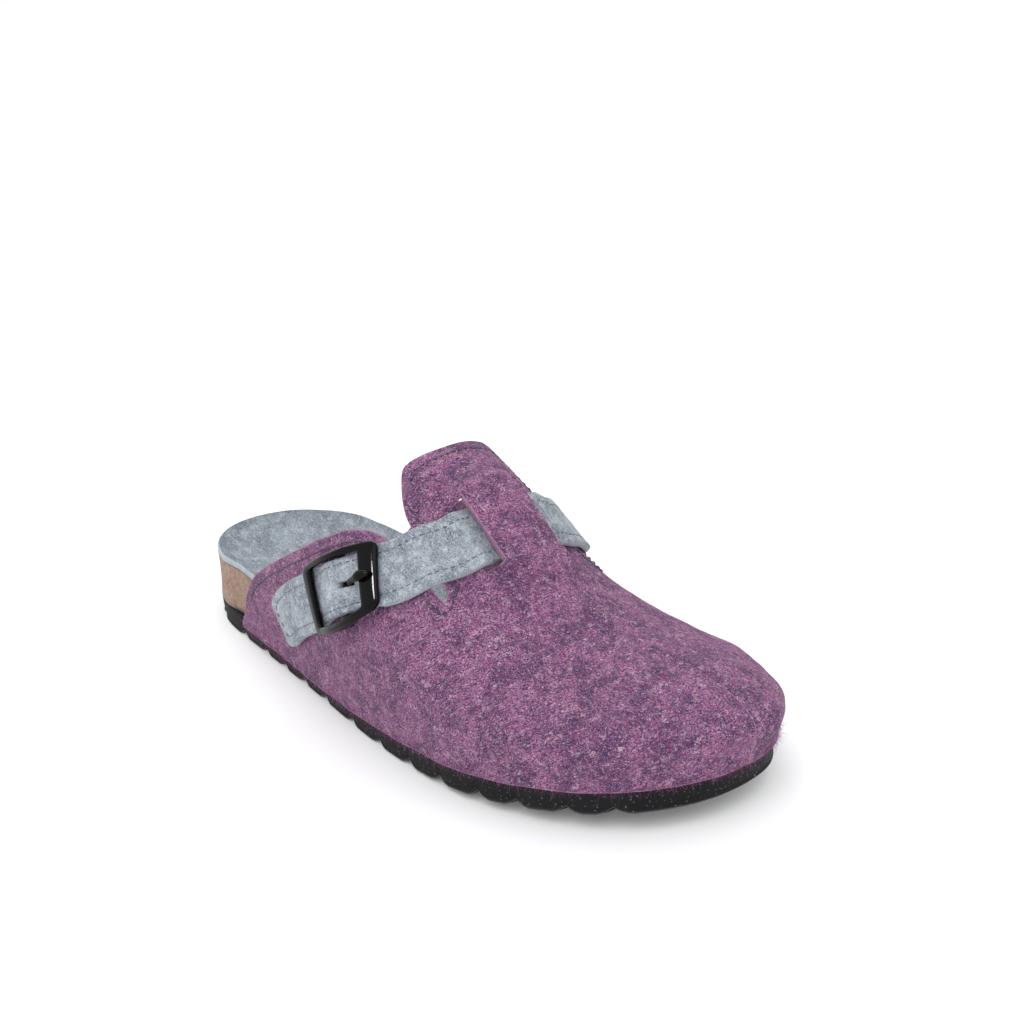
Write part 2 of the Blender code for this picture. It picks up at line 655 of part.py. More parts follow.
def buckle_frame():
    """Buckle frame: a bowed ring with a wide front bar, and a bar across under the strap."""
    outer = rounded_ring(BUCKLE["half_run"], BUCKLE["half_across"], BUCKLE["corner"], 4)
    inner = rounded_ring(BUCKLE["half_run"] - BUCKLE["bar"], BUCKLE["half_across"] - BUCKLE["side"], 0.0015, 4)
    outer_fine = []
    inner_fine = []
    for i in range(len(outer)):
        n = (i + 1) % len(outer)
        parts = max(1, int(round(np.linalg.norm(outer[n] - outer[i]) / 0.005)))
        for k in range(parts):
            outer_fine.append(outer[i] + (outer[n] - outer[i]) * k / parts)
            inner_fine.append(inner[i] + (inner[n] - inner[i]) * k / parts)
    outer = np.array(outer_fine)
    inner = np.array(inner_fine)
    inner[:, 0] = np.where(inner[:, 0] < 0, inner[:, 0] + BUCKLE["front_extra"], inner[:, 0])
    for ring in (outer, inner):
        share = 0.5 + ring[:, 0] / (2 * BUCKLE["half_run"])
        upper_side = smooth_table(BUCKLE_SPREAD, "upper", share)
        lower_side = smooth_table(BUCKLE_SPREAD, "lower", share)
        ring[:, 1] *= np.where(ring[:, 1] > 0, upper_side, lower_side)
    base = BUCKLE["over_strap"]
    thick = BUCKLE["thickness"]
    rings = []
    edge_in = 0.0005
    middle = (outer + inner) / 2
    for ring, out in ((outer, 0.0), (outer, 1.0), (inner, 1.0), (inner, 0.0)):
        bow = BUCKLE["bow"] * np.cos(np.clip(np.abs(ring[:, 0]) / BUCKLE["half_run"], 0, 1) * math.pi / 2)**2
        drop = np.clip(1 - np.abs(ring[:, 0]) / BUCKLE["lug_reach"], 0, 1)
        drop = drop * drop * (3 - 2 * drop)
        low = base + bow - (base + bow - BUCKLE["lug_low"]) * drop
        high = base + bow + thick
        inward = (middle - ring) * (edge_in / np.linalg.norm(middle - ring, axis=1))[:, None] * out
        place = ring + inward
        height = np.where(out > 0.5, high, low)
        rings.append(on_strap(-1, BUCKLE["centre"] + place[:, 0], place[:, 1], height))
    count = len(outer)
    vertices = list(np.concatenate(rings))
    faces = []
    for k in range(4):
        n = (k + 1) % 4
        for i in range(count):
            j = (i + 1) % count
            faces.append((k * count + i, k * count + j, n * count + j, n * count + i))
    part = make_object("buckle_frame", vertices, faces)
    boolean(part, round_bar(), "UNION")
    return part


def round_bar():
    """Straight round bar between the frame's side bars, under the strap."""
    reach = BUCKLE["half_across"] - BUCKLE["side"] / 2
    across = np.linspace(-reach * BUCKLE_SPREAD["lower"][1], reach, 5)
    turn = np.linspace(0, 2 * math.pi, 9)[:-1]
    vertices = []
    for w in across:
        for angle in turn:
            run = BUCKLE["centre"] + BUCKLE["bar_radius"] * math.cos(angle)
            vertices.append(on_strap(-1, run, w, BUCKLE["bar_height"] + BUCKLE["bar_radius"] * math.sin(angle)))
    faces = []
    for i in range(4):
        for j in range(8):
            n = (j + 1) % 8
            faces.append((i * 8 + j, i * 8 + n, i * 8 + 8 + n, i * 8 + 8 + j))
    faces.append(tuple(range(8)))
    faces.append(tuple(range(32, 40)))
    return make_object("buckle_centre_bar", vertices, faces)


def buckle_prong():
    """Prong: hooked over the centre bar, up through the strap's hole, resting on the front bar."""
    run = np.array(PRONG["run"]) + BUCKLE["centre"]
    out = np.array(PRONG["out"])
    width = np.array(PRONG["half_width"])
    thick = np.array(PRONG["half_thickness"])
    turn = np.linspace(0, 2 * math.pi, 9)[:-1]
    slope_run = np.gradient(run)
    slope_out = np.gradient(out)
    long = np.hypot(slope_run, slope_out)
    loops = []
    for i in range(len(run)):
        nr = -slope_out[i] / long[i]
        no = slope_run[i] / long[i]
        if no < 0:
            nr = -nr
            no = -no
        side_move = width[i] * np.cos(turn)
        up_move = thick[i] * np.sin(turn)
        loops.append(on_strap(-1, run[i] + nr * up_move, side_move, out[i] + no * up_move))
    vertices = list(np.concatenate(loops))
    faces = []
    for i in range(len(run) - 1):
        for j in range(8):
            n = (j + 1) % 8
            faces.append((i * 8 + j, i * 8 + n, i * 8 + 8 + n, i * 8 + 8 + j))
    last = (len(run) - 1) * 8
    faces.append(tuple(range(8)))
    faces.append(tuple(range(last, last + 8)))
    return make_object("buckle_prong", vertices, faces)


def give_material(part, name, colour, roughness, metallic):
    """One plain material per part."""
    material = bpy.data.materials.new(name)
    material.use_nodes = True
    shader = material.node_tree.nodes["Principled BSDF"]
    shader.inputs["Base Color"].default_value = (*colour, 1.0)
    shader.inputs["Roughness"].default_value = roughness
    shader.inputs["Metallic"].default_value = metallic
    part.data.materials.clear()
    part.data.materials.append(material)


for old in list(bpy.data.objects):
    bpy.data.objects.remove(old, do_unlink=True)
PARTS = bpy.data.collections.new("clog_slipper")
CUTTERS = bpy.data.collections.new("cutters")
bpy.context.scene.collection.children.link(PARTS)
bpy.context.scene.collection.children.link(CUTTERS)

made = {
    "outsole": outsole(),
    "midsole": midsole(),
    "insole": insole(),
    "upper": upper(),
    "strap": strap(),
    "buckle_frame": buckle_frame(),
    "buckle_prong": buckle_prong(),
}
corners = np.array([v.co for part in made.values() for v in part.data.vertices])
centre = (corners.min(axis=0) + corners.max(axis=0)) / 2
for part in made.values():
    for vert in part.data.vertices:
        vert.co.x -= float(centre[0])
        vert.co.y -= float(centre[1])
give_material(made["outsole"], "black_foam_rubber", (0.012, 0.012, 0.013), 0.80, 0.0)
give_material(made["midsole"], "cork", (0.42, 0.27, 0.16), 0.85, 0.0)
give_material(made["insole"], "grey_felt_insole", (0.36, 0.38, 0.40), 0.95, 0.0)
give_material(made["upper"], "purple_felt", (0.23, 0.085, 0.20), 0.95, 0.0)
give_material(made["strap"], "grey_felt_strap", (0.40, 0.42, 0.44), 0.95, 0.0)
give_material(made["buckle_frame"], "black_buckle", (0.008, 0.008, 0.009), 0.15, 0.0)
give_material(made["buckle_prong"], "black_prong", (0.008, 0.008, 0.009), 0.15, 0.0)
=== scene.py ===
"""Looks of the felt clog slipper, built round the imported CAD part.

The forms follow the same outline, footbed and upper surface as the CAD source, at a finer pitch.
Metres, toe to -Y, big toe to +X, +Z up.
"""
from __future__ import annotations

import logging
import math
from contextlib import contextmanager
from dataclasses import dataclass
from typing import Callable, Iterator, Sequence, Union

import bmesh
import bpy
import numpy as np
from mathutils import Matrix, Vector


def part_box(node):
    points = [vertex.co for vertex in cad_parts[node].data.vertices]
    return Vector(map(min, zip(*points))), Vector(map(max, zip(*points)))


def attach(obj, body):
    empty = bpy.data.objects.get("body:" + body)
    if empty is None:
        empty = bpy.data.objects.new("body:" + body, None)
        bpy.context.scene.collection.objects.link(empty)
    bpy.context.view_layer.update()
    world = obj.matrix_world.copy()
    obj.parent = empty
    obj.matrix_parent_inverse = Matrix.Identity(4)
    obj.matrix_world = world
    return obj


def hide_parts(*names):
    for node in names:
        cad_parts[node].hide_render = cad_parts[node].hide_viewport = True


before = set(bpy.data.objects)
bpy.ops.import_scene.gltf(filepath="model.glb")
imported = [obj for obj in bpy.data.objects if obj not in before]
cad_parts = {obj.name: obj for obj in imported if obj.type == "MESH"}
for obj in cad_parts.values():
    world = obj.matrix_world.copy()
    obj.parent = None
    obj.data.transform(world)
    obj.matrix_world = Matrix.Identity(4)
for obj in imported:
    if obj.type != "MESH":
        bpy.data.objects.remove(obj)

LOG = logging.getLogger("clog")
MM = 0.001
Array = np.ndarray

# Driving sizes, and tables read by share of the sole's length: rise is 0 at the sole and 1 on the ridge.
SOLE_LENGTH = 0.258
BALL_WIDTH = 0.100
HEEL_WIDTH = 0.070
OUTLINE = {
    "along": (0.000, 0.022, 0.085, 0.180, 0.300, 0.420, 0.540, 0.660, 0.760, 0.850, 0.930, 0.982,
              1.000, 0.985, 0.935, 0.850, 0.750, 0.650, 0.540, 0.420, 0.300, 0.180, 0.085, 0.022),
    "heel_share": (0.00, -0.52, -0.88, -1.00, -0.85, -0.55, -0.25, 0.00, 0.00, 0.00, 0.00, 0.00,
                   0.00, 0.00, 0.00, 0.00, 0.00, 0.00, 0.25, 0.55, 0.85, 1.00, 0.88, 0.52),
    "ball_share": (-0.03, -0.02, 0.00, 0.00, -0.16, -0.43, -0.71, -0.915, -0.88, -0.72, -0.45, -0.06,
                   0.31, 0.65, 0.94, 1.09, 1.10, 1.03, 0.67, 0.32, 0.13, 0.03, -0.01, -0.03),
}
RIDGE = {
    "along": (0.10, 0.30, 0.42, 0.50, 0.54, 0.60, 0.65, 0.70, 0.74, 0.78, 0.82, 0.86, 0.92),
    "height": (0.135, 0.121, 0.109, 0.100, 0.0950, 0.0870, 0.0763, 0.0643, 0.0560, 0.0503, 0.0465,
               0.0445, 0.0427),
    "sideways": (0.0, 0.0, 0.0, 0.0, 0.0, 0.001, 0.002, 0.003, 0.005, 0.007, 0.009, 0.011, 0.013),
}
SECTION = {
    "along": (0.10, 0.45, 0.60, 0.72, 0.85, 1.00),
    "across_power": (2.2, 2.3, 2.2, 2.1, 2.3, 2.5),
    "upward_power": (2.2, 2.2, 2.1, 2.0, 2.2, 2.3),
    "bulge": (0.0010, 0.0025, 0.0035, 0.0035, 0.0040, 0.0045),
}
MEDIAL = {
    "along": (0.10, 0.45, 0.56, 0.65, 0.75, 0.85, 0.93, 1.00),
    "fullness": (1.00, 1.00, 0.81, 0.66, 0.74, 0.79, 0.72, 0.79),
}
FOOTBED = {
    "along": (0.00, 0.15, 0.30, 0.45, 0.60, 0.80, 1.00),
    "rim": (0.0215, 0.0210, 0.0190, 0.0140, 0.0105, 0.0090, 0.0110),
    "middle": (0.0085, 0.0080, 0.0085, 0.0085, 0.0070, 0.0060, 0.0062),
    "cup_power": (3.0, 3.0, 3.2, 3.5, 4.0, 4.0, 3.5),
}
QUARTER_TOP = {
    "along": (0.168, 0.183, 0.200, 0.230, 0.263, 0.311, 0.356, 0.396, 0.431, 0.464, 0.491, 0.516,
              0.539, 0.561, 0.600, 0.640, 0.680, 0.760, 0.880, 1.000),
    "rise": (0.020, 0.060, 0.120, 0.171, 0.205, 0.250, 0.297, 0.343, 0.391, 0.439, 0.485, 0.522,
             0.552, 0.566, 0.572, 0.576, 0.592, 0.585, 0.575, 0.570),
}
TONGUE_SIDE = {
    "along": (0.100, 0.524, 0.526, 0.531, 0.541, 0.559, 0.579, 0.610, 0.645, 0.665, 0.680),
    "rise": (0.810, 0.805, 0.780, 0.753, 0.723, 0.683, 0.656, 0.640, 0.630, 0.619, 0.592),
}
SLOT_OUTER = {
    "along": (0.100, 0.610, 0.612, 0.681, 0.684, 1.000),
    "rise": (0.836, 0.836, 0.772, 0.772, 0.836, 0.836),
}
STRAP_COURSE = {
    "along": (0.652, 0.652, 0.649, 0.642, 0.624, 0.604, 0.570, 0.524, 0.481, 0.438, 0.378, 0.320),
    "rise": (1.000, 0.930, 0.849, 0.727, 0.627, 0.535, 0.455, 0.368, 0.308, 0.251, 0.188, 0.115),
}
BUCKLE_SPREAD = {
    "along": (0.0, 0.5, 1.0),
    "upper": (0.90, 1.00, 0.90),
    "lower": (0.92, 1.07, 1.10),
}
SOLE_NOTCHES = (0.0, 0.080, 0.168, 0.240, 0.300, 0.362, 0.425, 0.503, 0.575, 0.645, 0.708, 0.773, 0.825,
                0.883, 0.929, 1.0)
DENTS = {
    "along": (0.700, 0.745, 0.630, 0.840, 0.560, 0.400, 0.580, 0.720, 0.900, 0.470, 0.527, 0.300),
    "rise": (0.700, 0.900, 0.500, 0.330, 0.750, 0.150, 0.300, 0.560, 0.600, 0.250, 0.930, 0.100),
    "half_along": (0.030, 0.020, 0.040, 0.060, 0.012, 0.060, 0.050, 0.012, 0.030, 0.020, 0.010, 0.040),
    "half_rise": (0.080, 0.200, 0.050, 0.120, 0.060, 0.060, 0.060, 0.040, 0.150, 0.090, 0.050, 0.050),
    "height_mm": (-0.7, -0.5, -0.5, 0.5, 0.5, 0.4, -0.5, 0.4, -0.3, -0.3, 0.4, -0.3),
}
SOLE_PROFILE = {
    "down": (0.0, 0.02, 0.07, 0.18, 0.34, 0.50, 0.64, 0.76, 0.84, 0.89, 0.93, 0.97, 1.0),
    "out_mm": (-0.45, -0.15, 0.0, 0.05, 0.08, 0.10, 0.08, 0.02, -0.05, 0.30, 0.36, 0.10, -0.55),
}
PRONG_PATH = {
    "run_mm": (-17.9, -17.4, -16.4, -15.2, -14.2, -13.2, -12.2, -10.6, -9.2, -8.0, -6.9, -5.9, -4.6,
               -2.4, -1.2),
    "out_mm": (7.35, 7.45, 7.60, 7.75, 7.75, 7.60, 7.20, 6.60, 6.10, 5.40, 4.30, 2.90, 1.90,
               1.60, 1.60),
    "radius_mm": (0.50, 0.95, 1.20, 1.55, 1.70, 1.50, 1.10, 0.95, 0.95, 0.95, 0.95, 0.90, 0.85,
                  0.80, 0.80),
}


def monotone(xs: Sequence[float], ys: Sequence[float], at: Array) -> Array:
    """Monotone cubic through a short table.

    Args:
        xs: places of the table, rising.
        ys: values at those places.
        at: places to read.

    Returns:
        The curve's values: between two rows a cubic whose slopes are harmonic means, so it never overshoots.
    """
    px = np.asarray(xs, dtype=float)
    py = np.asarray(ys, dtype=float)
    width = np.diff(px)
    slope = np.diff(py) / width
    tangent = np.zeros_like(py)
    same = slope[:-1] * slope[1:] > 0
    w1 = 2 * width[1:] + width[:-1]
    w2 = width[1:] + 2 * width[:-1]
    with np.errstate(divide="ignore", invalid="ignore"):
        mean = (w1 + w2) / (w1 / slope[:-1] + w2 / slope[1:])
    tangent[1:-1] = np.where(same, mean, 0.0)
    tangent[0] = slope[0]
    tangent[-1] = slope[-1]
    x = np.clip(np.asarray(at, dtype=float), px[0], px[-1])
    k = np.clip(np.searchsorted(px, x, side="right") - 1, 0, len(width) - 1)
    t = (x - px[k]) / width[k]
    start = (2 * t**3 - 3 * t**2 + 1) * py[k] + (t**3 - 2 * t**2 + t) * width[k] * tangent[k]
    return start + (-2 * t**3 + 3 * t**2) * py[k + 1] + (t**3 - t**2) * width[k] * tangent[k + 1]


def read(table: dict[str, tuple[float, ...]], column: str, at: Array) -> Array:
    """Reads one column of a table against its first one, as a monotone cubic."""
    return monotone(table["along"], table[column], at)


def smooth(low: float, high: float, value: Array) -> Array:
    """Smooth step from 0 at low to 1 at high."""
    share = np.clip((np.asarray(value, dtype=float) - low) / (high - low), 0, 1)
    return share * share * (3 - 2 * share)


def share_at(y: Array) -> Array:
    """Share of the sole's length at a place across the shoe: 0 at the heel, 1 at the toe."""
    return np.clip(0.5 - y / SOLE_LENGTH, 0, 1)


def cosine_rows(count: int) -> Array:
    """Shares from 0 to 1 in a column, closer together towards both ends."""
    return (0.5 - 0.5 * np.cos(np.linspace(0, math.pi, count)))[:, None]


def full_turn(count: int) -> Array:
    """Angles evenly round a circle, without the last one, which is the first again."""
    return np.linspace(0, 2 * math.pi, count + 1)[:-1]


def quarter_fall(left: Array) -> Array:
    """Fall of a quarter circle of radius one, by the share of its width that is left before the edge."""
    return 1 - np.sqrt(np.clip(1 - (1 - left)**2, 0, 1))


def unit(vectors: Array) -> Array:
    """Vectors scaled to length one."""
    return vectors / np.maximum(np.linalg.norm(vectors, axis=-1, keepdims=True), 1e-12)


@dataclass(frozen=True)
class Last:
    """The shoe's form: outline, ground line, footbed and the upper's outer face."""

    sole_thickness: float = 0.0085
    toe_spring: float = 0.0085
    spring_start: float = 0.58
    spring_power: float = 1.6
    felt_wall: float = 0.0028
    felt_proud: float = 0.0012
    upright: float = 0.005
    upright_share: float = 0.10
    clearance: float = 0.0003
    pole_along: float = 0.885
    pole_blend: float = 0.030
    wrap: tuple[float, float] = (0.105, 0.160)
    axis_ends: tuple[float, float] = (0.13, 0.84)
    shift: tuple[float, float] = (0.0, 0.0)
    sides: tuple[Array, Array] = ()

    @staticmethod
    def loop(points: Array, share: Array) -> Array:
        """Closed cubic spline through the points, by share of its chord length.

        Args:
            points: corner points of the loop, in order.
            share: places to read, 0 to 1.

        Returns:
            The curve's points there.
        """
        closed = np.vstack([points, points[:1]])
        step = np.linalg.norm(np.diff(closed, axis=0), axis=1)
        knots = np.concatenate([[0.0], np.cumsum(step)])
        count = len(points)
        before = np.roll(step, 1)
        rows = np.arange(count)
        matrix = np.zeros((count, count))
        matrix[rows, (rows - 1) % count] = before
        matrix[rows, rows] = 2 * (before + step)
        matrix[rows, (rows + 1) % count] = step
        ahead = np.diff(closed, axis=0) / step[:, None]
        bend = np.linalg.solve(matrix, 6 * (ahead - np.roll(ahead, 1, axis=0)))
        bend = np.vstack([bend, bend[:1]])
        at = share * knots[-1]
        k = np.clip(np.searchsorted(knots, at, side="right") - 1, 0, count - 1)
        left = (knots[k + 1] - at)[:, None]
        gone = (at - knots[k])[:, None]
        width = step[k][:, None]
        curve = (bend[k] * left**3 + bend[k + 1] * gone**3) / (6 * width)
        curve = curve + (closed[k] / width - bend[k] * width / 6) * left
        return curve + (closed[k + 1] / width - bend[k + 1] * width / 6) * gone

    @classmethod
    def make(cls, sole_box: tuple[Vector, Vector]) -> "Last":
        """Works out the dense outline and the frame's shift.

        Args:
            sole_box: lowest and highest corner of the CAD sole, in the row frame.

        Returns:
            The last, with one table per side: angle, x, y, normal x, normal y.
        """
        across = np.array(OUTLINE["heel_share"]) * HEEL_WIDTH / 2
        across = across + np.array(OUTLINE["ball_share"]) * BALL_WIDTH / 2
        points = np.column_stack([across, -np.array(OUTLINE["along"]) * SOLE_LENGTH])
        curve = cls.loop(points, np.linspace(0, 1, 2881)[:-1])
        top = curve[:, 1].max()
        low = curve[:, 1].min()
        curve[:, 1] = (curve[:, 1] - (top + low) / 2) * SOLE_LENGTH / (top - low)
        ahead = np.roll(curve, -1, axis=0) - np.roll(curve, 1, axis=0)
        normal = unit(np.column_stack([ahead[:, 1], -ahead[:, 0]]))
        normal = normal * np.sign(((curve - curve.mean(axis=0)) * normal).sum())
        share = np.clip(0.5 - curve[:, 1] / SOLE_LENGTH, 0, 1)
        data = np.column_stack([np.arccos(1 - 2 * share), curve, normal])
        data = np.roll(data, -int(np.argmin(share)), axis=0)
        toe = int(np.argmax(data[:, 0]))
        halves = []
        for rows in (data[:toe + 1], np.vstack([data[toe:], data[:1]])):
            rows = rows[np.argsort(rows[:, 0], kind="stable")]
            rows[0, 0] = 0.0
            rows[-1, 0] = math.pi
            halves.append(rows)
        middle = (curve.min(axis=0) + curve.max(axis=0)) / 2
        box = [(sole_box[0][i] + sole_box[1][i]) / 2 - float(middle[i]) for i in range(2)]
        return cls(shift=(box[0], box[1]), sides=(halves[0], halves[1]))

    def edge(self, side: int, along: Array, outward: Union[float, Array] = 0.0) -> tuple[Array, ...]:
        """Outline point, moved outward, and its outward normal: x, y, normal x, normal y.

        Args:
            side: -1 for the outer side of the foot, 1 for the inner.
            along: places by share of the sole's length.
            outward: distance out from the outline.

        Returns:
            Arrays of x, y, normal x and normal y.
        """
        rows = self.sides[0] if side < 0 else self.sides[1]
        angle = np.arccos(1 - 2 * np.clip(np.asarray(along, dtype=float), 0, 1))
        x, y, nx, ny = (np.interp(angle, rows[:, 0], rows[:, i]) for i in (1, 2, 3, 4))
        long = np.hypot(nx, ny)
        nx = nx / long
        ny = ny / long
        return x + nx * outward, y + ny * outward, nx, ny

    def ground(self, along: Array) -> Array:
        """Height of the tread: flat, then a power curve up to the toe."""
        share = np.clip((along - self.spring_start) / (1 - self.spring_start), 0, 1)
        return self.toe_spring * share**self.spring_power

    def feather(self, along: Array) -> Array:
        """Height of the sole's top."""
        return self.ground(along) + self.sole_thickness

    def skin(self, side: int, along: Array, rise: Array) -> Array:
        """Upper's outer face: a superellipse from the sole's edge to the ridge, with an outward bulge.

        Args:
            side: -1 for the outer side of the foot, 1 for the inner.
            along: places by share of the sole's length.
            rise: places up the upper, 0 at the sole and 1 on the ridge.

        Returns:
            Points of the face.
        """
        along, rise = np.broadcast_arrays(np.asarray(along, dtype=float), np.asarray(rise, dtype=float))
        x0, y0, nx, ny = self.edge(side, along, self.felt_proud)
        behind = (self.pole_along - along) / self.pole_blend
        spine = self.pole_along - self.pole_blend * np.log1p(np.exp(behind))
        z0 = self.feather(along) + self.clearance
        z1 = z0 + self.upright
        ridge_z = read(RIDGE, "height", spine)
        ridge_x = read(RIDGE, "sideways", spine)
        ridge_y = (0.5 - spine) * SOLE_LENGTH
        foot = self.upright_share
        turn = np.clip((rise - foot) / (1 - foot), 0, 1) * math.pi / 2
        full = read(MEDIAL, "fullness", along) if side > 0 else 1.0
        inward = 1 - np.cos(turn)**(2 / (full * read(SECTION, "across_power", spine)))
        upward = np.sin(turn)**(2 / (full * read(SECTION, "upward_power", spine)))
        z = z0 + (z1 - z0) * np.clip(rise / foot, 0, 1) + (ridge_z - z1) * upward
        bulge = read(SECTION, "bulge", along) * np.sin(math.pi * np.clip(rise / 0.8, 0, 1))**2
        x = x0 + (ridge_x - x0) * inward + nx * bulge
        y = y0 + (ridge_y - y0) * inward + ny * bulge
        return np.stack([x, y, z], axis=-1)

    def skin_at(self, along: Array, turn: Array) -> Array:
        """Outer face by signed turn: -1 at the lateral sole, 0 on the ridge, 1 at the medial sole.

        Args:
            along: places by share of the sole's length.
            turn: signed places round the upper.

        Returns:
            Points of the face.
        """
        along, turn = np.broadcast_arrays(np.asarray(along, dtype=float), np.asarray(turn, dtype=float))
        rise = 1 - np.clip(np.abs(turn), 0, 1)
        return np.where((turn < 0)[..., None], self.skin(-1, along, rise), self.skin(1, along, rise))

    def normal_at(self, along: Array, turn: Array) -> Array:
        """Outward normal of the outer face, smooth across the ridge.

        Args:
            along: places by share of the sole's length.
            turn: signed places round the upper.

        Returns:
            Unit normals there.
        """
        step = 0.002
        a = np.clip(np.asarray(along, dtype=float), step, 0.9985 - step)
        q = np.clip(np.asarray(turn, dtype=float), -0.97, 0.97)
        a, q = np.broadcast_arrays(a, q)
        by_along = self.skin_at(a + step, q) - self.skin_at(a - step, q)
        by_turn = self.skin_at(a, q + step) - self.skin_at(a, q - step)
        return unit(np.cross(by_along, by_turn))

    def bed_edge(self, side: int, along: Array) -> tuple[Array, ...]:
        """Edge of the footbed: flush at the heel, inside the felt further forward."""
        inside = self.felt_proud - self.felt_wall - self.clearance
        return self.edge(side, along, inside * smooth(self.wrap[0], self.wrap[1], along))

    def axis(self, along: Array) -> tuple[Array, Array]:
        """Middle line of the sole, held between one heel point and one toe point.

        Args:
            along: places by share of the sole's length.

        Returns:
            Its x and y.
        """
        held = np.clip(along, self.axis_ends[0], self.axis_ends[1])
        left = self.edge(-1, held)[0]
        right = self.edge(1, held)[0]
        return (left + right) / 2, (0.5 - held) * SOLE_LENGTH

    def bed_top(self, side: int, along: Array, reach: Array) -> Array:
        """Top of the insole: a power curve from the middle height up to the rim.

        Args:
            side: -1 for the outer side of the foot, 1 for the inner.
            along: places by share of the sole's length.
            reach: places from the middle line, 0, to the edge, 1.

        Returns:
            Points of the insole's top.
        """
        ex, ey = self.bed_edge(side, along)[:2]
        ax, ay = self.axis(along)
        x = ax + (ex - ax) * reach
        y = ay + (ey - ay) * reach
        place = share_at(y)
        middle = read(FOOTBED, "middle", place)
        rim = read(FOOTBED, "rim", along)
        lift = np.clip(reach, 0, 1)**read(FOOTBED, "cup_power", along)
        return np.stack([x, y, self.feather(place) + middle + (rim - middle) * lift], axis=-1)

    def placed(self, points: Array) -> Array:
        """Points moved into the row frame."""
        return points + np.array([self.shift[0], self.shift[1], 0.0])


class Course:
    """The strap's way over the upper, and points beside and above it."""

    def __init__(self, last: Last) -> None:
        """Measures the middle line once.

        Args:
            last: the shoe's form.
        """
        self.last = last
        along = np.array(STRAP_COURSE["along"])
        turn = 1 - np.array(STRAP_COURSE["rise"])
        knots = np.linspace(0, 1, len(along))
        fine = np.linspace(0, 1, 400)
        self.along = monotone(knots, along, fine)
        self.turn = monotone(knots, turn, fine)
        points = last.skin(-1, self.along, 1 - self.turn)
        self.run = np.concatenate([[0.0], np.cumsum(np.linalg.norm(np.diff(points, axis=0), axis=1))])

    def at(self, side: int, run: Array, across: Array, out: Array) -> Array:
        """Point by length from the ridge, width towards the upper edge, and height above the upper.

        Args:
            side: -1 for the outer side of the foot, 1 for the inner.
            run: lengths from the ridge along the strap.
            across: places across the strap, towards its upper edge.
            out: heights above the upper.

        Returns:
            Points in the drawing's frame. The step across is laid square to the middle line, on
            the skin.
        """
        run, across, out = np.broadcast_arrays(
            np.asarray(run, dtype=float), np.asarray(across, dtype=float), np.asarray(out, dtype=float))
        last = self.last
        a = np.interp(run, self.run, self.along)
        q = np.interp(run, self.run, self.turn) * side
        h = 0.002
        by_along = (last.skin_at(a + h, q) - last.skin_at(a - h, q)) / (2 * h)
        by_turn = (last.skin_at(a, q + h) - last.skin_at(a, q - h)) / (2 * h)
        step = 0.001
        da = np.interp(run + step, self.run, self.along) - np.interp(run - step, self.run, self.along)
        dq = np.interp(run + step, self.run, self.turn) - np.interp(run - step, self.run, self.turn)
        forward = by_along * da[..., None] + by_turn * dq[..., None] * side
        sideways = unit(np.cross(last.normal_at(a, q), forward) * side)
        aa = (by_along**2).sum(-1)
        tt = (by_turn**2).sum(-1)
        at = (by_along * by_turn).sum(-1)
        va = (by_along * sideways).sum(-1)
        vt = (by_turn * sideways).sum(-1)
        det = aa * tt - at * at
        place_a = a + (va * tt - vt * at) / det * across
        place_q = q + (vt * aa - va * at) / det * across
        return last.skin_at(place_a, place_q) + last.normal_at(place_a, place_q) * out[..., None]

    def run_at(self, rise: float) -> float:
        """Length from the ridge where the middle line passes a rise."""
        return float(np.interp(1 - rise, self.turn, self.run))


def grid_quads(rows: int, columns: int, start: int = 0, keep: Union[Array, None] = None) -> Array:
    """Quads of a grid of points, row by row.

    Args:
        rows: points down.
        columns: points across.
        start: number of the first point.
        keep: cells to keep, (rows - 1) by (columns - 1).

    Returns:
        One row of four point numbers for each cell kept.
    """
    index = start + np.arange(rows * columns).reshape(rows, columns)
    quads = np.stack([index[:-1, :-1], index[:-1, 1:], index[1:, 1:], index[1:, :-1]], axis=-1)
    return quads[keep] if keep is not None else quads.reshape(-1, 4)


def ring_quads(rows: int, ring: int, start: int = 0) -> Array:
    """Quads of a tube: rows of closed rings of points.

    Args:
        rows: rings along the tube.
        ring: points of each ring.
        start: number of the first point.

    Returns:
        One row of four point numbers for each face.
    """
    index = start + np.arange(rows * ring).reshape(rows, ring)
    after = np.roll(index, -1, axis=1)
    return np.stack([index[:-1], after[:-1], after[1:], index[1:]], axis=-1).reshape(-1, 4)


@contextmanager
def editing(mesh: bpy.types.Mesh) -> Iterator[bmesh.types.BMesh]:
    """Opens a mesh for editing, and writes it back at the end."""
    work = bmesh.new()
    work.from_mesh(mesh)
    yield work
    work.to_mesh(mesh)
    work.free()


def border(block: Array) -> Array:
    """Point numbers round the edge of a grid, in order."""
    return np.concatenate([block[0], block[1:, -1], block[-1, ::-1][1:], block[::-1, 0][1:-1]])


def wall_quads(loop: Array, drop: int) -> Array:
    """Quads between a closed loop of points and the same loop numbered further on."""
    after = np.roll(loop, -1)
    return np.stack([loop, after, after + drop, loop + drop], axis=-1)


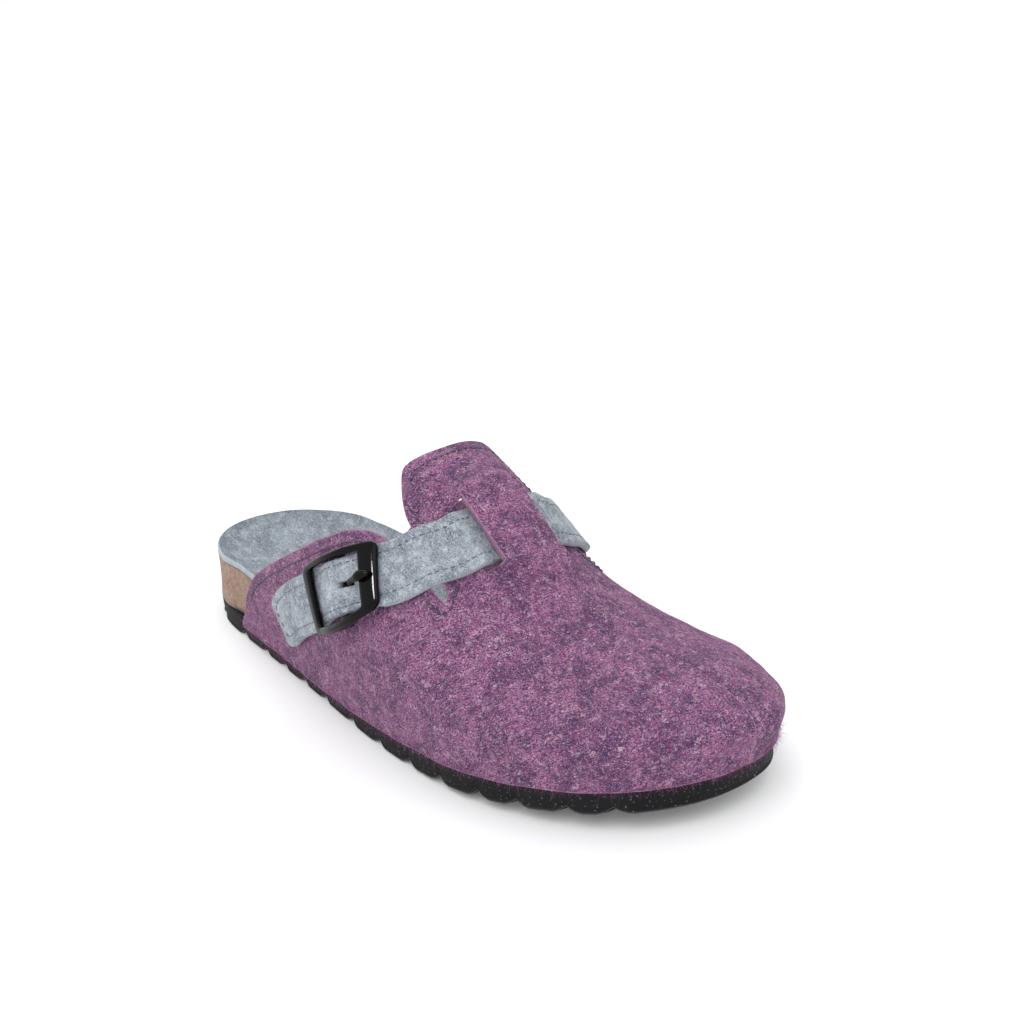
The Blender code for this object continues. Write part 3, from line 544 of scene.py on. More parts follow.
def lay_mesh(name: str, points: Array, faces: Sequence[Sequence[int]],
             values: Union[dict[str, Array], None] = None, merge: float = 0.0) -> bpy.types.Object:
    """Makes a mesh piece at the origin, smooth and facing outward.

    Args:
        name: the piece's name.
        points: corner points in the row frame.
        faces: corner numbers of each face.
        values: point values by attribute name.
        merge: distance under which points become one.

    Returns:
        The new object, linked to the scene.
    """
    mesh = bpy.data.meshes.new(name)
    mesh.from_pydata(np.asarray(points, dtype=float).tolist(), [], [list(map(int, face)) for face in faces])
    for key, value in (values or {}).items():
        layer = mesh.attributes.new(key, "FLOAT", "POINT")
        layer.data.foreach_set("value", np.asarray(value, dtype=np.float32).ravel())
    with editing(mesh) as work:
        if merge > 0:
            bmesh.ops.remove_doubles(work, verts=work.verts, dist=merge)
            bmesh.ops.dissolve_degenerate(work, edges=work.edges, dist=merge / 10)
            bmesh.ops.recalc_face_normals(work, faces=work.faces)
        loose = [vert for vert in work.verts if not vert.link_faces]
        bmesh.ops.delete(work, geom=loose, context="VERTS")
    mesh.polygons.foreach_set("use_smooth", np.ones(len(mesh.polygons), dtype=bool))
    piece = bpy.data.objects.new(name, mesh)
    bpy.context.scene.collection.objects.link(piece)
    return piece


def fit_in(piece: bpy.types.Object, finish: bpy.types.Material, slot: str, nodes: Sequence[str] = ()) -> None:
    """Gives a piece its finish and its place in the frame, and reports it.

    Args:
        piece: the finished piece.
        finish: its material.
        slot: not used.
        nodes: CAD nodes that the piece stands for.
    """
    piece.data.materials.clear()
    piece.data.materials.append(finish)
    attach(piece, "root")
    if nodes:
        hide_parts(*nodes)
    LOG.info("%s: %d faces", piece.name, len(piece.data.polygons))


Number = Union[float, "Link"]


class Link:
    """One output of a node, with arithmetic that adds Math nodes."""

    def __init__(self, board: "Board", socket: bpy.types.NodeSocket) -> None:
        """Keeps the socket and the board it is on."""
        self.board = board
        self.socket = socket

    def _math(self, operation: str, *values: Number) -> "Link":
        """Math node on some values."""
        return self.board.node("ShaderNodeMath", {"operation": operation}, dict(enumerate(values)))

    def __add__(self, other: Number) -> "Link":
        """Sum."""
        return self._math("ADD", self, other)

    __radd__ = __add__

    def __mul__(self, other: Number) -> "Link":
        """Product."""
        return self._math("MULTIPLY", self, other)

    __rmul__ = __mul__

    def sine(self) -> "Link":
        """Sine."""
        return self._math("SINE", self)

    def step(self, low: float, high: float) -> "Link":
        """Smooth step from 0 at low to 1 at high, or falling where low is the higher."""
        return self.board.node("ShaderNodeMapRange", {"interpolation_type": "SMOOTHSTEP"},
                               {"Value": self, "From Min": low, "From Max": high})


class Board:
    """One material's nodes."""

    def __init__(self, name: str) -> None:
        """Starts a material with its shader.

        Args:
            name: its name.
        """
        self.material = bpy.data.materials.new(name)
        self.material.use_nodes = True
        self.nodes = self.material.node_tree.nodes
        self.links = self.material.node_tree.links
        self.shader = self.nodes["Principled BSDF"]
        self.place = self.node("ShaderNodeTexCoord", {}, {}, "Object")

    def node(self, kind: str, settings: dict[str, object], inputs: dict[Union[int, str], object],
             output: Union[int, str] = 0) -> Link:
        """Adds a node.

        Args:
            kind: the node's type.
            settings: its properties, set first.
            inputs: values or links of its sockets.
            output: the socket to give back.

        Returns:
            That output.
        """
        made = self.nodes.new(kind)
        for key, value in settings.items():
            setattr(made, key, value)
        for key, value in inputs.items():
            self.feed(made.inputs[key], value)
        return Link(self, made.outputs[output])

    def feed(self, socket: bpy.types.NodeSocket, value: object) -> None:
        """Links or sets one input.

        Args:
            socket: the input.
            value: a link, a colour, a vector or a number.
        """
        if isinstance(value, Link):
            self.links.new(value.socket, socket)
        elif isinstance(value, tuple) and len(value) == 3 and socket.type == "RGBA":
            socket.default_value = (*value, 1.0)
        else:
            socket.default_value = value

    def noise(self, scale: float, detail: float = 2.0, roughness: float = 0.5,
              vector: Union[Link, None] = None, output: str = "Fac") -> Link:
        """Noise on the piece's own coordinates, its scale in features per metre."""
        return self.node("ShaderNodeTexNoise", {}, {
            "Vector": vector or self.place, "Scale": scale, "Detail": detail, "Roughness": roughness}, output)

    def blend(self, share: Number, first: object, second: object) -> Link:
        """Mix of two colours.

        Args:
            share: share of the second colour.
            first: the first colour.
            second: the second colour.

        Returns:
            The mixed colour.
        """
        made = self.nodes.new("ShaderNodeMix")
        made.data_type = "RGBA"
        for name, value in (("Factor_Float", share), ("A_Color", first), ("B_Color", second)):
            self.feed(next(s for s in made.inputs if s.identifier == name), value)
        return Link(self, next(s for s in made.outputs if s.identifier == "Result_Color"))

    def attribute(self, name: str) -> Link:
        """A point value of the piece."""
        return self.node("ShaderNodeAttribute", {"attribute_name": name}, {}, "Fac")

    def bump(self, height: Link, strength: float, distance: float) -> Link:
        """Bump from a height."""
        return self.node("ShaderNodeBump", {}, {"Height": height, "Strength": strength, "Distance": distance})

    def finish(self, **inputs: object) -> bpy.types.Material:
        """Sets the shader's sockets, by name with underscores for spaces, and gives back the material.

        Args:
            inputs: values and links by socket.

        Returns:
            The material.
        """
        for key, value in inputs.items():
            self.feed(self.shader.inputs[key.replace("_", " ")], value)
        return self.material


Colour = tuple[float, float, float]


def linear(red: int, green: int, blue: int) -> Colour:
    """Display colour 0 to 255 as a linear one.

    Args:
        red: red.
        green: green.
        blue: blue.

    Returns:
        The linear red, green and blue, 0 to 1.
    """
    share = np.array([red, green, blue]) / 255
    value = np.where(share <= 0.04045, share / 12.92, ((share + 0.055) / 1.055)**2.4)
    return tuple(float(v) for v in value)


@dataclass(frozen=True)
class Fibre:
    """One layer of fibres in the felt: its colour, direction and how much of it shows."""

    colour: Colour
    turn: tuple[float, float, float]
    cover: float
    strength: float


@dataclass(frozen=True)
class FeltFinish:
    """Pressed wool felt: a cloudy ground under layers of short fibres laid in several directions."""

    name: str
    deep: Colour
    middle: Colour
    pale: Colour
    cut: Colour
    fibres: tuple[Fibre, ...]
    fibre_long: float = 2.8 * MM
    fibre_thick: float = 0.34 * MM
    relief: float = 0.5
    sheen: float = 0.04

    def make(self) -> bpy.types.Material:
        """Builds the material.

        Returns:
            The felt. Ground colour: deep to middle by 10 mm clouds, then to pale by 3 mm flecks. Each fibre
            layer is a noise stretched along its own direction and bent by a slow noise, cut off above its
            cover.
        """
        board = Board(self.name)
        cloud = board.noise(105.0, 4.0, 0.65)
        fleck = board.noise(360.0, 3.0, 0.6)
        ground = board.blend(cloud.step(0.40, 0.60), self.deep, self.middle)
        ground = board.blend(fleck.step(0.50, 0.68) * 0.75, ground, self.pale)
        bend = board.noise(330.0, 1.0, 0.5, output="Color")
        centred = board.node("ShaderNodeVectorMath", {"operation": "SUBTRACT"}, {0: bend, 1: (0.5, 0.5, 0.5)})
        moved = board.node("ShaderNodeVectorMath", {"operation": "MULTIPLY_ADD"},
                           {0: centred, 1: (0.0022, 0.0022, 0.0022), 2: board.place})
        height = fleck * 0.5
        for layer in self.fibres:
            laid = board.node("ShaderNodeMapping", {"vector_type": "TEXTURE"}, {
                "Vector": moved, "Rotation": tuple(math.radians(a) for a in layer.turn),
                "Scale": (self.fibre_long, self.fibre_thick, self.fibre_thick)})
            strand = board.noise(1.0, 1.0, 0.5, laid)
            mask = strand.step(layer.cover - 0.035, layer.cover + 0.045)
            ground = board.blend(mask * layer.strength, ground, layer.colour)
            height = height + mask * 0.5
        ground = board.blend(board.attribute("cut").step(0.35, 1.0) * 0.55, ground, self.cut)
        return board.finish(
            Base_Color=ground, Roughness=0.92, Specular_IOR_Level=0.18, Sheen_Weight=self.sheen,
            Sheen_Roughness=0.55, Normal=board.bump(height, self.relief, 0.35 * MM))


@dataclass(frozen=True)
class HairFinish:
    """Loose hairs: one of a few wool colours, chosen by each hair's own tint."""

    name: str
    colours: tuple[Colour, ...]

    def make(self) -> bpy.types.Material:
        """Builds the material: a stepped ramp over the tint of each hair.

        Returns:
            The material.
        """
        board = Board(self.name)
        tint = board.attribute("tint")
        colour: object = self.colours[0]
        for k, other in enumerate(self.colours[1:], 1):
            place = k / len(self.colours)
            colour = board.blend(tint.step(place - 0.02, place + 0.02), colour, other)
        return board.finish(Base_Color=colour, Roughness=0.8, Specular_IOR_Level=0.2, Sheen_Weight=0.03)


@dataclass(frozen=True)
class CorkFinish:
    """Fine granulated cork, lightly sealed."""

    ground: Colour = linear(138, 110, 94)
    dark: Colour = linear(92, 68, 54)
    light: Colour = linear(166, 146, 130)

    def make(self) -> bpy.types.Material:
        """Builds the material: 1 mm grains, each of its own tone, with dark pin specks between them.

        Returns:
            The material.
        """
        board = Board("cork_sealed")
        grain = board.node("ShaderNodeTexVoronoi", {"feature": "F1"},
                           {"Vector": board.place, "Scale": 950.0}, "Color")
        tone = board.node("ShaderNodeSeparateColor", {}, {0: grain})
        speck = board.noise(1900.0, 2.0, 0.6)
        slow = board.noise(140.0, 3.0, 0.6)
        colour = board.blend(tone.step(0.55, 1.0) * 0.45, self.ground, self.light)
        colour = board.blend(tone.step(0.40, 0.0) * 0.35, colour, self.dark)
        colour = board.blend(speck.step(0.60, 0.70) * 0.55, colour, self.dark)
        colour = board.blend(slow.step(0.35, 0.70) * 0.25, colour, self.light)
        height = tone * 0.4 + speck
        return board.finish(Base_Color=colour, Roughness=speck * 0.2 + 0.55, Specular_IOR_Level=0.35,
                            Normal=board.bump(height, 0.25, 0.15 * MM))


@dataclass(frozen=True)
class RubberFinish:
    """Matt black foam rubber with dust specks, and a painted highlight along the bead low on its side."""

    ground: Colour = (0.0065, 0.0065, 0.0072)
    grey: Colour = (0.012, 0.012, 0.0135)
    # dust is the pale speck colour, and also the colour of the painted highlight on the bead
    dust: Colour = linear(120, 120, 125)

    def make(self) -> bpy.types.Material:
        """Builds the material: fine pores in the bump, rare pale specks, and a painted highlight along the
        bead.

        Returns:
            The material.
        """
        board = Board("foam_rubber_black")
        pore = board.noise(2600.0, 2.0, 0.6)
        slow = board.noise(90.0, 2.0, 0.5)
        speck = board.noise(1300.0, 0.0, 0.5)
        colour = board.blend(slow.step(0.3, 0.8) * 0.5, self.ground, self.grey)
        colour = board.blend(speck.step(0.735, 0.79) * 0.55, colour, self.dust)
        # painted highlight: the bead low on the side is mixed towards the dust colour
        colour = board.blend(board.attribute("painted_bead_highlight").step(0.3, 1.0) * 0.3, colour, self.dust)
        return board.finish(Base_Color=colour, Roughness=pore * 0.25 + 0.55, Specular_IOR_Level=0.14,
                            Normal=board.bump(pore, 0.35, 0.12 * MM))


@dataclass(frozen=True)
class GlossFinish:
    """Black gloss paint on metal."""

    name: str
    ground: Colour = (0.0022, 0.0022, 0.0028)
    speck: Colour = (0.05, 0.05, 0.055)

    def make(self) -> bpy.types.Material:
        """Builds the material: a hard coat over black, with faint ripple and dust in the roughness.

        Returns:
            The material.
        """
        board = Board(self.name)
        ripple = board.noise(220.0, 1.0, 0.5)
        dust = board.noise(1800.0, 2.0, 0.6)
        colour = board.blend(dust.step(0.66, 0.76) * 0.2, self.ground, self.speck)
        return board.finish(
            Base_Color=colour, Roughness=dust.step(0.55, 0.8) * 0.16 + 0.10, Specular_IOR_Level=0.06,
            Coat_Weight=0.12, Coat_Roughness=0.04, Normal=board.bump(ripple, 0.08, 0.4 * MM))


@dataclass(frozen=True)
class ThreadFinish:
    """Dark twisted thread with pale glints painted into its colour as painted highlights."""

    name: str
    dark: Colour
    pale: Colour

    def make(self) -> bpy.types.Material:
        """Builds the material: stripes across the thread from its twist value, and broken pale glints painted
        into the base colour as painted highlights.

        Returns:
            The material.
        """
        board = Board(self.name)
        twist = board.attribute("twist")
        ply = (twist * 40.0).sine() * 0.5 + 0.5
        painted_glint = board.noise(2300.0, 1.0, 0.5)
        # painted highlight: pale glints mixed into the colour, cut back to the dark colour by the ply stripes
        colour = board.blend(painted_glint.step(0.52, 0.66) * 0.75, self.dark, self.pale)
        colour = board.blend(ply.step(0.45, 0.0) * 0.5, colour, self.dark)
        return board.finish(Base_Color=colour, Roughness=0.42, Specular_IOR_Level=0.5,
                            Normal=board.bump(ply, 0.5, 0.12 * MM))


@dataclass
class FeltUpper:
    """The purple felt upper with its tongue, slits and strap slots.

    Places are shares of the sole's length. slot_blend is where the raised panel's edges end behind and
    ahead of the slot, dip the depth, the front end and the half width of the tongue's curved top, panel the
    rear end, the front end and the ramp of the raised panel, and heel_hook how far the heel end is drawn
    forward, over which length and under which rise.
    """

    last: Last
    foot_along: float = 0.168
    tongue_top: float = 0.524
    slit_front: float = 0.672
    slot_inner: float = 0.849
    slot_ends: tuple[float, float] = (SLOT_OUTER["along"][1], SLOT_OUTER["along"][4])
    slot_corners: tuple[float, float] = (SLOT_OUTER["along"][2], SLOT_OUTER["along"][3])
    slot_blend: tuple[float, float, float, float] = (0.600, 0.611, 0.697, 0.683)
    strip_soft: float = 0.775
    tongue_corner: float = 0.020
    toe_start: float = 0.80
    dip: tuple[float, float, float] = (0.014, 0.600, 0.235)
    panel: tuple[float, float, float] = (0.580, 0.720, 0.027)
    panel_high: float = 3.6 * MM
    heel_hook: tuple[float, float, float] = (0.012, 0.020, 0.120)
    hem_foot: float = 0.10
    rim_bevel: float = 0.55 * MM
    band_cells: int = 44
    strip_cells: int = 16
    panel_cells: int = 14

    def panel_lift(self, along: Array) -> Array:
        """Rise of the middle panel over the strap, with a smooth ramp at each end.

        Args:
            along: places by share of the sole's length.

        Returns:
            The rise there.
        """
        rear, front, ramp = self.panel
        share = np.minimum(np.clip((along - rear) / ramp, 0, 1), np.clip((front - along) / ramp, 0, 1))
        return self.panel_high * share * share * (3 - 2 * share)

    def stations(self) -> Array:
        """Places along the length, about 1.1 mm apart, with a row on every break of the pattern.

        Returns:
            The places by share of the sole's length.
        """
        shares = np.array([0.05, 0.10, 0.17, 0.25, 0.35, 0.47, 0.60, 0.72, 0.85])
        corner = self.tongue_top + self.tongue_corner * shares
        stops = (corner[-1], self.slot_ends[0], self.slot_corners[0], self.slit_front, self.slot_corners[1],
                 self.slot_ends[1], self.toe_start)
        cells = (13, 2, 17, 2, 2, 27)
        parts = [np.linspace(stops[i], stops[i + 1], cells[i] + 1)[1:] for i in range(len(cells))]
        toe = 0.5 - 0.5 * np.cos(np.linspace(math.acos(1 - 2 * self.toe_start), math.pi, 58))[1:]
        behind = np.linspace(self.foot_along, self.tongue_top, 84)
        return np.concatenate([behind, corner, *parts, toe])

    def surface(self, side: int) -> tuple[Array, Array]:
        """Outer face on one side.

        Args:
            side: -1 for the outer side of the foot, 1 for the inner.

        Returns:
            Points by station and rise, and the cells to keep. The columns run in three groups: the band
            from the sole to the quarter's edge or the slit, the strip from there to the slot, and the panel
            from the slot to the ridge. A point is the last's skin, moved out by the raised panel, by slow
            lumps and by listed dents. The tongue's top curves forward at its corners, and the foot of
            the heel end is drawn forward too.
        """
        at = self.stations()
        quarter = read(QUARTER_TOP, "rise", at)
        tongue = np.where(at >= self.slit_front - 1e-9, quarter, read(TONGUE_SIDE, "rise", at))
        outer = read(SLOT_OUTER, "rise", at)[:, None]
        ease = np.sin(np.linspace(0, 1, self.band_cells + 1) * math.pi / 2)
        even = np.linspace(0, 1, self.band_cells + 1)
        band = quarter[:, None] * (0.75 * even + 0.25 * ease)
        strip = tongue[:, None] + (outer - tongue[:, None]) * np.linspace(0, 1, self.strip_cells + 1)
        panel = self.slot_inner + (1 - self.slot_inner) * np.linspace(0, 1, self.panel_cells + 1)
        rise = np.concatenate([band, strip, np.broadcast_to(panel, (len(at), len(panel)))], axis=1)
        depth, front, turn = self.dip
        near = np.clip((front - at[:, None]) / (front - self.tongue_top), 0, 1)
        place = at[:, None] + depth * near * np.clip(1 - ((1 - rise) / turn)**2, 0, 1)
        hook, hook_along, hook_rise = self.heel_hook
        heel_end = np.clip(1 - (at[:, None] - self.foot_along) / hook_along, 0, 1)
        place = place + hook * heel_end * np.clip(1 - rise / hook_rise, 0, 1)**2
        points = self.last.skin_at(place, side * (1 - rise))
        normals = self.last.normal_at(place, side * (1 - rise))
        rear_low, rear_high, front_low, front_high = self.slot_blend
        beyond = 1 - smooth(rear_low, rear_high, at) * smooth(front_low, front_high, at)
        soft = smooth(self.strip_soft, self.slot_inner, rise) * beyond[:, None]
        first_panel = self.band_cells + self.strip_cells + 2
        soft[:, first_panel:] = 1.0
        points[..., 2] -= self.hem(at)[:, None] * np.clip(1 - rise / self.hem_foot, 0, 1)
        out = self.panel_lift(at)[:, None] * soft + self.lumps(points) + self.dents(place, rise)
        keep = np.ones((len(at) - 1, rise.shape[1] - 1), dtype=bool)
        centre = (at[:-1] + at[1:]) / 2
        keep[centre < self.tongue_top, self.band_cells:] = False
        keep[centre < self.slit_front, self.band_cells] = False
        keep[(centre > self.slot_ends[0]) & (centre < self.slot_ends[1]), first_panel - 1] = False
        return self.last.placed(points + normals * out[..., None]), keep

    @staticmethod
    def hem(along: Array) -> Array:
        """How far the felt hangs over the sole's side: 3 mm behind, none from the ball forward."""
        return 3.0 * MM * (1 - smooth(0.42, 0.66, along))

    @staticmethod
    def lumps(points: Array) -> Array:
        """Slow unevenness of pressed felt: a few crossed sine waves, 7 to 30 mm long, 0.1 to 0.25 mm high.

        Args:
            points: points of the upper.

        Returns:
            Height out of the face at each.
        """
        x, y, z = (points[..., i] / MM for i in range(3))
        out = 0.22 * np.sin(x / 5.1 + 1.3 * np.sin(y / 9.3)) * np.sin(y / 7.7 + z / 11.0 + 0.6)
        out = out + 0.12 * np.sin(x / 2.3 + z / 3.1 + 1.1 * np.sin(y / 4.1)) * np.sin(y / 2.9 + 1.7)
        return out * MM

    @staticmethod
    def dents(along: Array, rise: Array) -> Array:
        """Listed soft troughs and ridges: each a Gaussian in along and rise.

        Args:
            along: places by share of the sole's length.
            rise: places up the upper, 0 at the sole and 1 on the ridge.

        Returns:
            Height out of the face at each.
        """
        at, up, half_along, half_rise, height_mm = (np.array(column) for column in DENTS.values())
        spread = ((along[..., None] - at) / half_along)**2 + ((rise[..., None] - up) / half_rise)**2
        return (np.exp(-spread) * height_mm).sum(axis=-1) * MM

    def build(self, finish: bpy.types.Material) -> tuple[Array, Array]:
        """Makes the wall.

        Args:
            finish: the felt.

        Returns:
            The outer face's corner points and quads, for the hairs.
        """
        clouds, quads, start = [], [], 0
        for side in (-1, 1):
            points, keep = self.surface(side)
            rows, columns = points.shape[:2]
            cells = grid_quads(rows, columns, start, keep)
            quads.append(cells[:, ::-1] if side > 0 else cells)
            clouds.append(points.reshape(-1, 3))
            start += rows * columns
        points = np.concatenate(clouds)
        faces = np.concatenate(quads)
        piece = lay_mesh("felt_upper", points, faces, merge=0.02 * MM)
        with editing(piece.data) as work:
            turned = sum(face.normal.x * face.calc_center_median().x for face in work.faces)
            if turned < 0:
                bmesh.ops.reverse_faces(work, faces=work.faces)
            rim = np.array([vert.is_boundary for vert in work.verts], dtype=np.float32)
        layer = piece.data.attributes.new("cut", "FLOAT", "POINT")
        layer.data.foreach_set("value", rim)
        wall = piece.modifiers.new("wall", "SOLIDIFY")
        wall.thickness = self.last.felt_wall
        wall.offset = -1.0
        round_rim = piece.modifiers.new("round_rim", "BEVEL")
        round_rim.width = self.rim_bevel
        round_rim.segments = 2
        round_rim.limit_method = "ANGLE"
        round_rim.angle_limit = math.radians(50)
        fit_in(piece, finish, "upper", ["upper"])
        return points, faces


@dataclass
class FeltStrap:
    """The grey felt strap through the buckle.

    Lengths run from the ridge. hole is the prong hole's rear end, front end and half width.
    """

    course: Course
    width: float = 20.8 * MM
    thick: float = 3.0 * MM
    corner: float = 5.0 * MM
    tail: float = 125.5 * MM
    sewn: float = 62.0 * MM
    clearance: float = 0.5 * MM
    slant: float = 0.21
    edge_round: float = 0.9 * MM
    buckle_at: float = 68.9 * MM
    pinch: float = 1.4 * MM
    pinch_half: float = 19.0 * MM
    swell: float = 3.6 * MM
    swell_half: float = 13.5 * MM
    crown: float = 0.9 * MM
    crown_half: float = 8.0 * MM
    hole: tuple[float, float, float] = (59.6 * MM, 65.0 * MM, 1.1 * MM)
    across_count: int = 34
    seam_inset: float = 3.6 * MM

    def low(self, side: int, run: Array, across: Array) -> Array:
        """Height of the underside: deep under the panel, just over the upper, and swelling in the buckle.

        On the inner side the rise out of the slot is slanted across the strap, as the slot is there.

        Args:
            side: -1 for the outer side of the foot, 1 for the inner.
            run: lengths from the ridge along the strap.
            across: places across the strap, towards its upper edge.

        Returns:
            Heights above the upper.
        """
        run = run + self.slant * across if side > 0 else run
        last = self.course.last
        hidden = -self.thick + FeltUpper.panel_high - last.felt_wall - 4 * last.clearance
        inner = self.course.run_at(FeltUpper.slot_inner)
        outer = self.course.run_at(SLOT_OUTER["rise"][2])
        height = hidden + (self.clearance - hidden) * smooth(inner, outer, run)
        if side < 0:
            away = np.clip(np.abs(run - self.buckle_at) / self.swell_half, 0, 1)
            height = height + self.swell * np.cos(away * math.pi / 2)**2
        return height

    def half(self, run: Array, end: float) -> Array:
        """Half width: full, pinched in the buckle, then a quarter circle at each corner of the free end.

        Args:
            run: lengths from the ridge along the strap.
            end: length where the strap ends.

        Returns:
            Half of the width there.
        """
        left = np.clip((end - run) / self.corner, 0, 1)
        away = np.clip(np.abs(run - self.buckle_at) / self.pinch_half, 0, 1)
        pinched = self.width / 2 - self.pinch * (1 - away**4)
        return pinched - self.corner * quarter_fall(left)

    def dome(self, run: Array, share: Array) -> Array:
        """Extra height of the top: a crown inside the buckle, channels along the seams and small lumps.

        Args:
            run: lengths from the ridge along the strap.
            share: places across, -1 to 1.

        Returns:
            The extra height there.
        """
        inside = np.exp(-((run - self.buckle_at) / self.crown_half)**4)
        crown = self.crown * inside * np.clip(1 - share**2, 0, 1)
        line = (self.width / 2 - self.seam_inset) / (self.width / 2)
        seam = -0.28 * MM * np.exp(-((np.abs(share) - line) / 0.07)**2)
        lump = 0.10 * MM * np.sin(run / (2.7 * MM) + 2 * share) * np.sin(run / (4.3 * MM) - 5.1 * share)
        return crown + seam + lump

    def top(self, side: int, run: Array, across: Array, over: float = 0.0) -> Array:
        """Point on the strap's upper face, or over it, in the row frame.

        Args:
            side: -1 for the outer side of the foot, 1 for the inner.
            run: lengths from the ridge along the strap.
            across: places across the strap, towards its upper edge.
            over: distance over the face.

        Returns:
            Points in the row frame.
        """
        half = self.half(run, self.tail) if side < 0 else self.width / 2
        dome = self.dome(run if side < 0 else -run, across / half)
        out = self.low(side, run, across) + self.thick + dome + over
        return self.course.last.placed(self.course.at(side, run, across, out))

    def runs(self) -> tuple[Array, Array]:
        """Stations from the sewn end to the ridge, and from the ridge to the tail, on the hole's ends too.

        Returns:
            Both rows of lengths from the ridge.
        """
        turn = np.linspace(0, math.pi / 2, 12)[1:]
        straight = np.linspace(0, self.tail - self.corner, 190)
        out = np.concatenate([straight, self.tail - self.corner * (1 - np.sin(turn))])
        for hole_end in self.hole[:2]:
            out[np.argmin(np.abs(out - hole_end))] = hole_end
        return np.linspace(0, self.sewn, 90)[1:][::-1], out

    def faces_of(self, side: int, runs: Array, share: Array) -> tuple[Array, Array]:
        """Upper and lower face of the strap on one side of the ridge.

        Args:
            side: -1 for the outer side of the foot, 1 for the inner.
            runs: lengths from the ridge, one for each section.
            share: places across a section, -1 to 1.

        Returns:
            Points of the upper and the lower face. Their edges fall away by a quarter circle.
        """
        run = runs[:, None] + 0 * share
        half = self.half(run, self.tail) if side < 0 else np.full_like(run, self.width / 2)
        across = np.broadcast_to(share, run.shape) * half
        from_edge = np.clip((half - np.abs(across)) / self.edge_round, 0, 1)
        end = np.clip((self.tail - run) / self.edge_round, 0, 1) if side < 0 else 1.0
        fall = self.edge_round * quarter_fall(np.minimum(from_edge, end))
        low = self.low(side, run, across)
        dome = self.dome(run if side < 0 else -run, np.broadcast_to(share, run.shape))
        up = self.course.at(side, run, across, low + self.thick + dome - fall)
        return up, self.course.at(side, run, across, low + fall * 0.6)

    def build(self, finish: bpy.types.Material) -> tuple[Array, Array]:
        """Makes the strap.

        Args:
            finish: its felt.

        Returns:
            Its corner points, and the quads of its upper face, for the hairs. The two faces are joined by
            a wall round their border and by another round the prong's hole, which goes right through.
        """
        even = np.linspace(-1, 1, self.across_count)
        share = 0.55 * np.sin(even * math.pi / 2 * 0.999) + 0.45 * even
        runs_in, runs_out = self.runs()
        sides = [self.faces_of(1, runs_in, share), self.faces_of(-1, runs_out, share)]
        up, down = (np.concatenate(faces) for faces in zip(*sides))
        rows, columns = up.shape[:2]
        face = rows * columns
        run_all = np.concatenate([-runs_in, runs_out])
        centre = (run_all[:-1] + run_all[1:]) / 2
        middle = (share[:-1] + share[1:]) / 2 * self.width / 2
        in_run = (centre > self.hole[0]) & (centre < self.hole[1])
        holed = in_run[:, None] & (np.abs(middle) < self.hole[2])[None]
        index = np.arange(face).reshape(rows, columns)
        i0, i1 = np.flatnonzero(holed.any(axis=1))[[0, -1]]
        j0, j1 = np.flatnonzero(holed.any(axis=0))[[0, -1]]
        top_quads = grid_quads(rows, columns, 0, ~holed)
        quads = [top_quads, grid_quads(rows, columns, face, ~holed)[:, ::-1], wall_quads(border(index), face),
                 wall_quads(border(index[i0:i1 + 2, j0:j1 + 2]), face)]
        points = self.course.last.placed(np.concatenate([up.reshape(-1, 3), down.reshape(-1, 3)]))
        rim = np.zeros(len(points))
        rim[np.concatenate([index[:, 0], index[:, -1], index[-1]])] = 1.0
        rim[face:] = rim[:face]
        piece = lay_mesh("felt_strap", points, np.concatenate(quads), {"cut": rim}, merge=0.01 * MM)
        fit_in(piece, finish, "strap", ["strap"])
        return points, top_quads


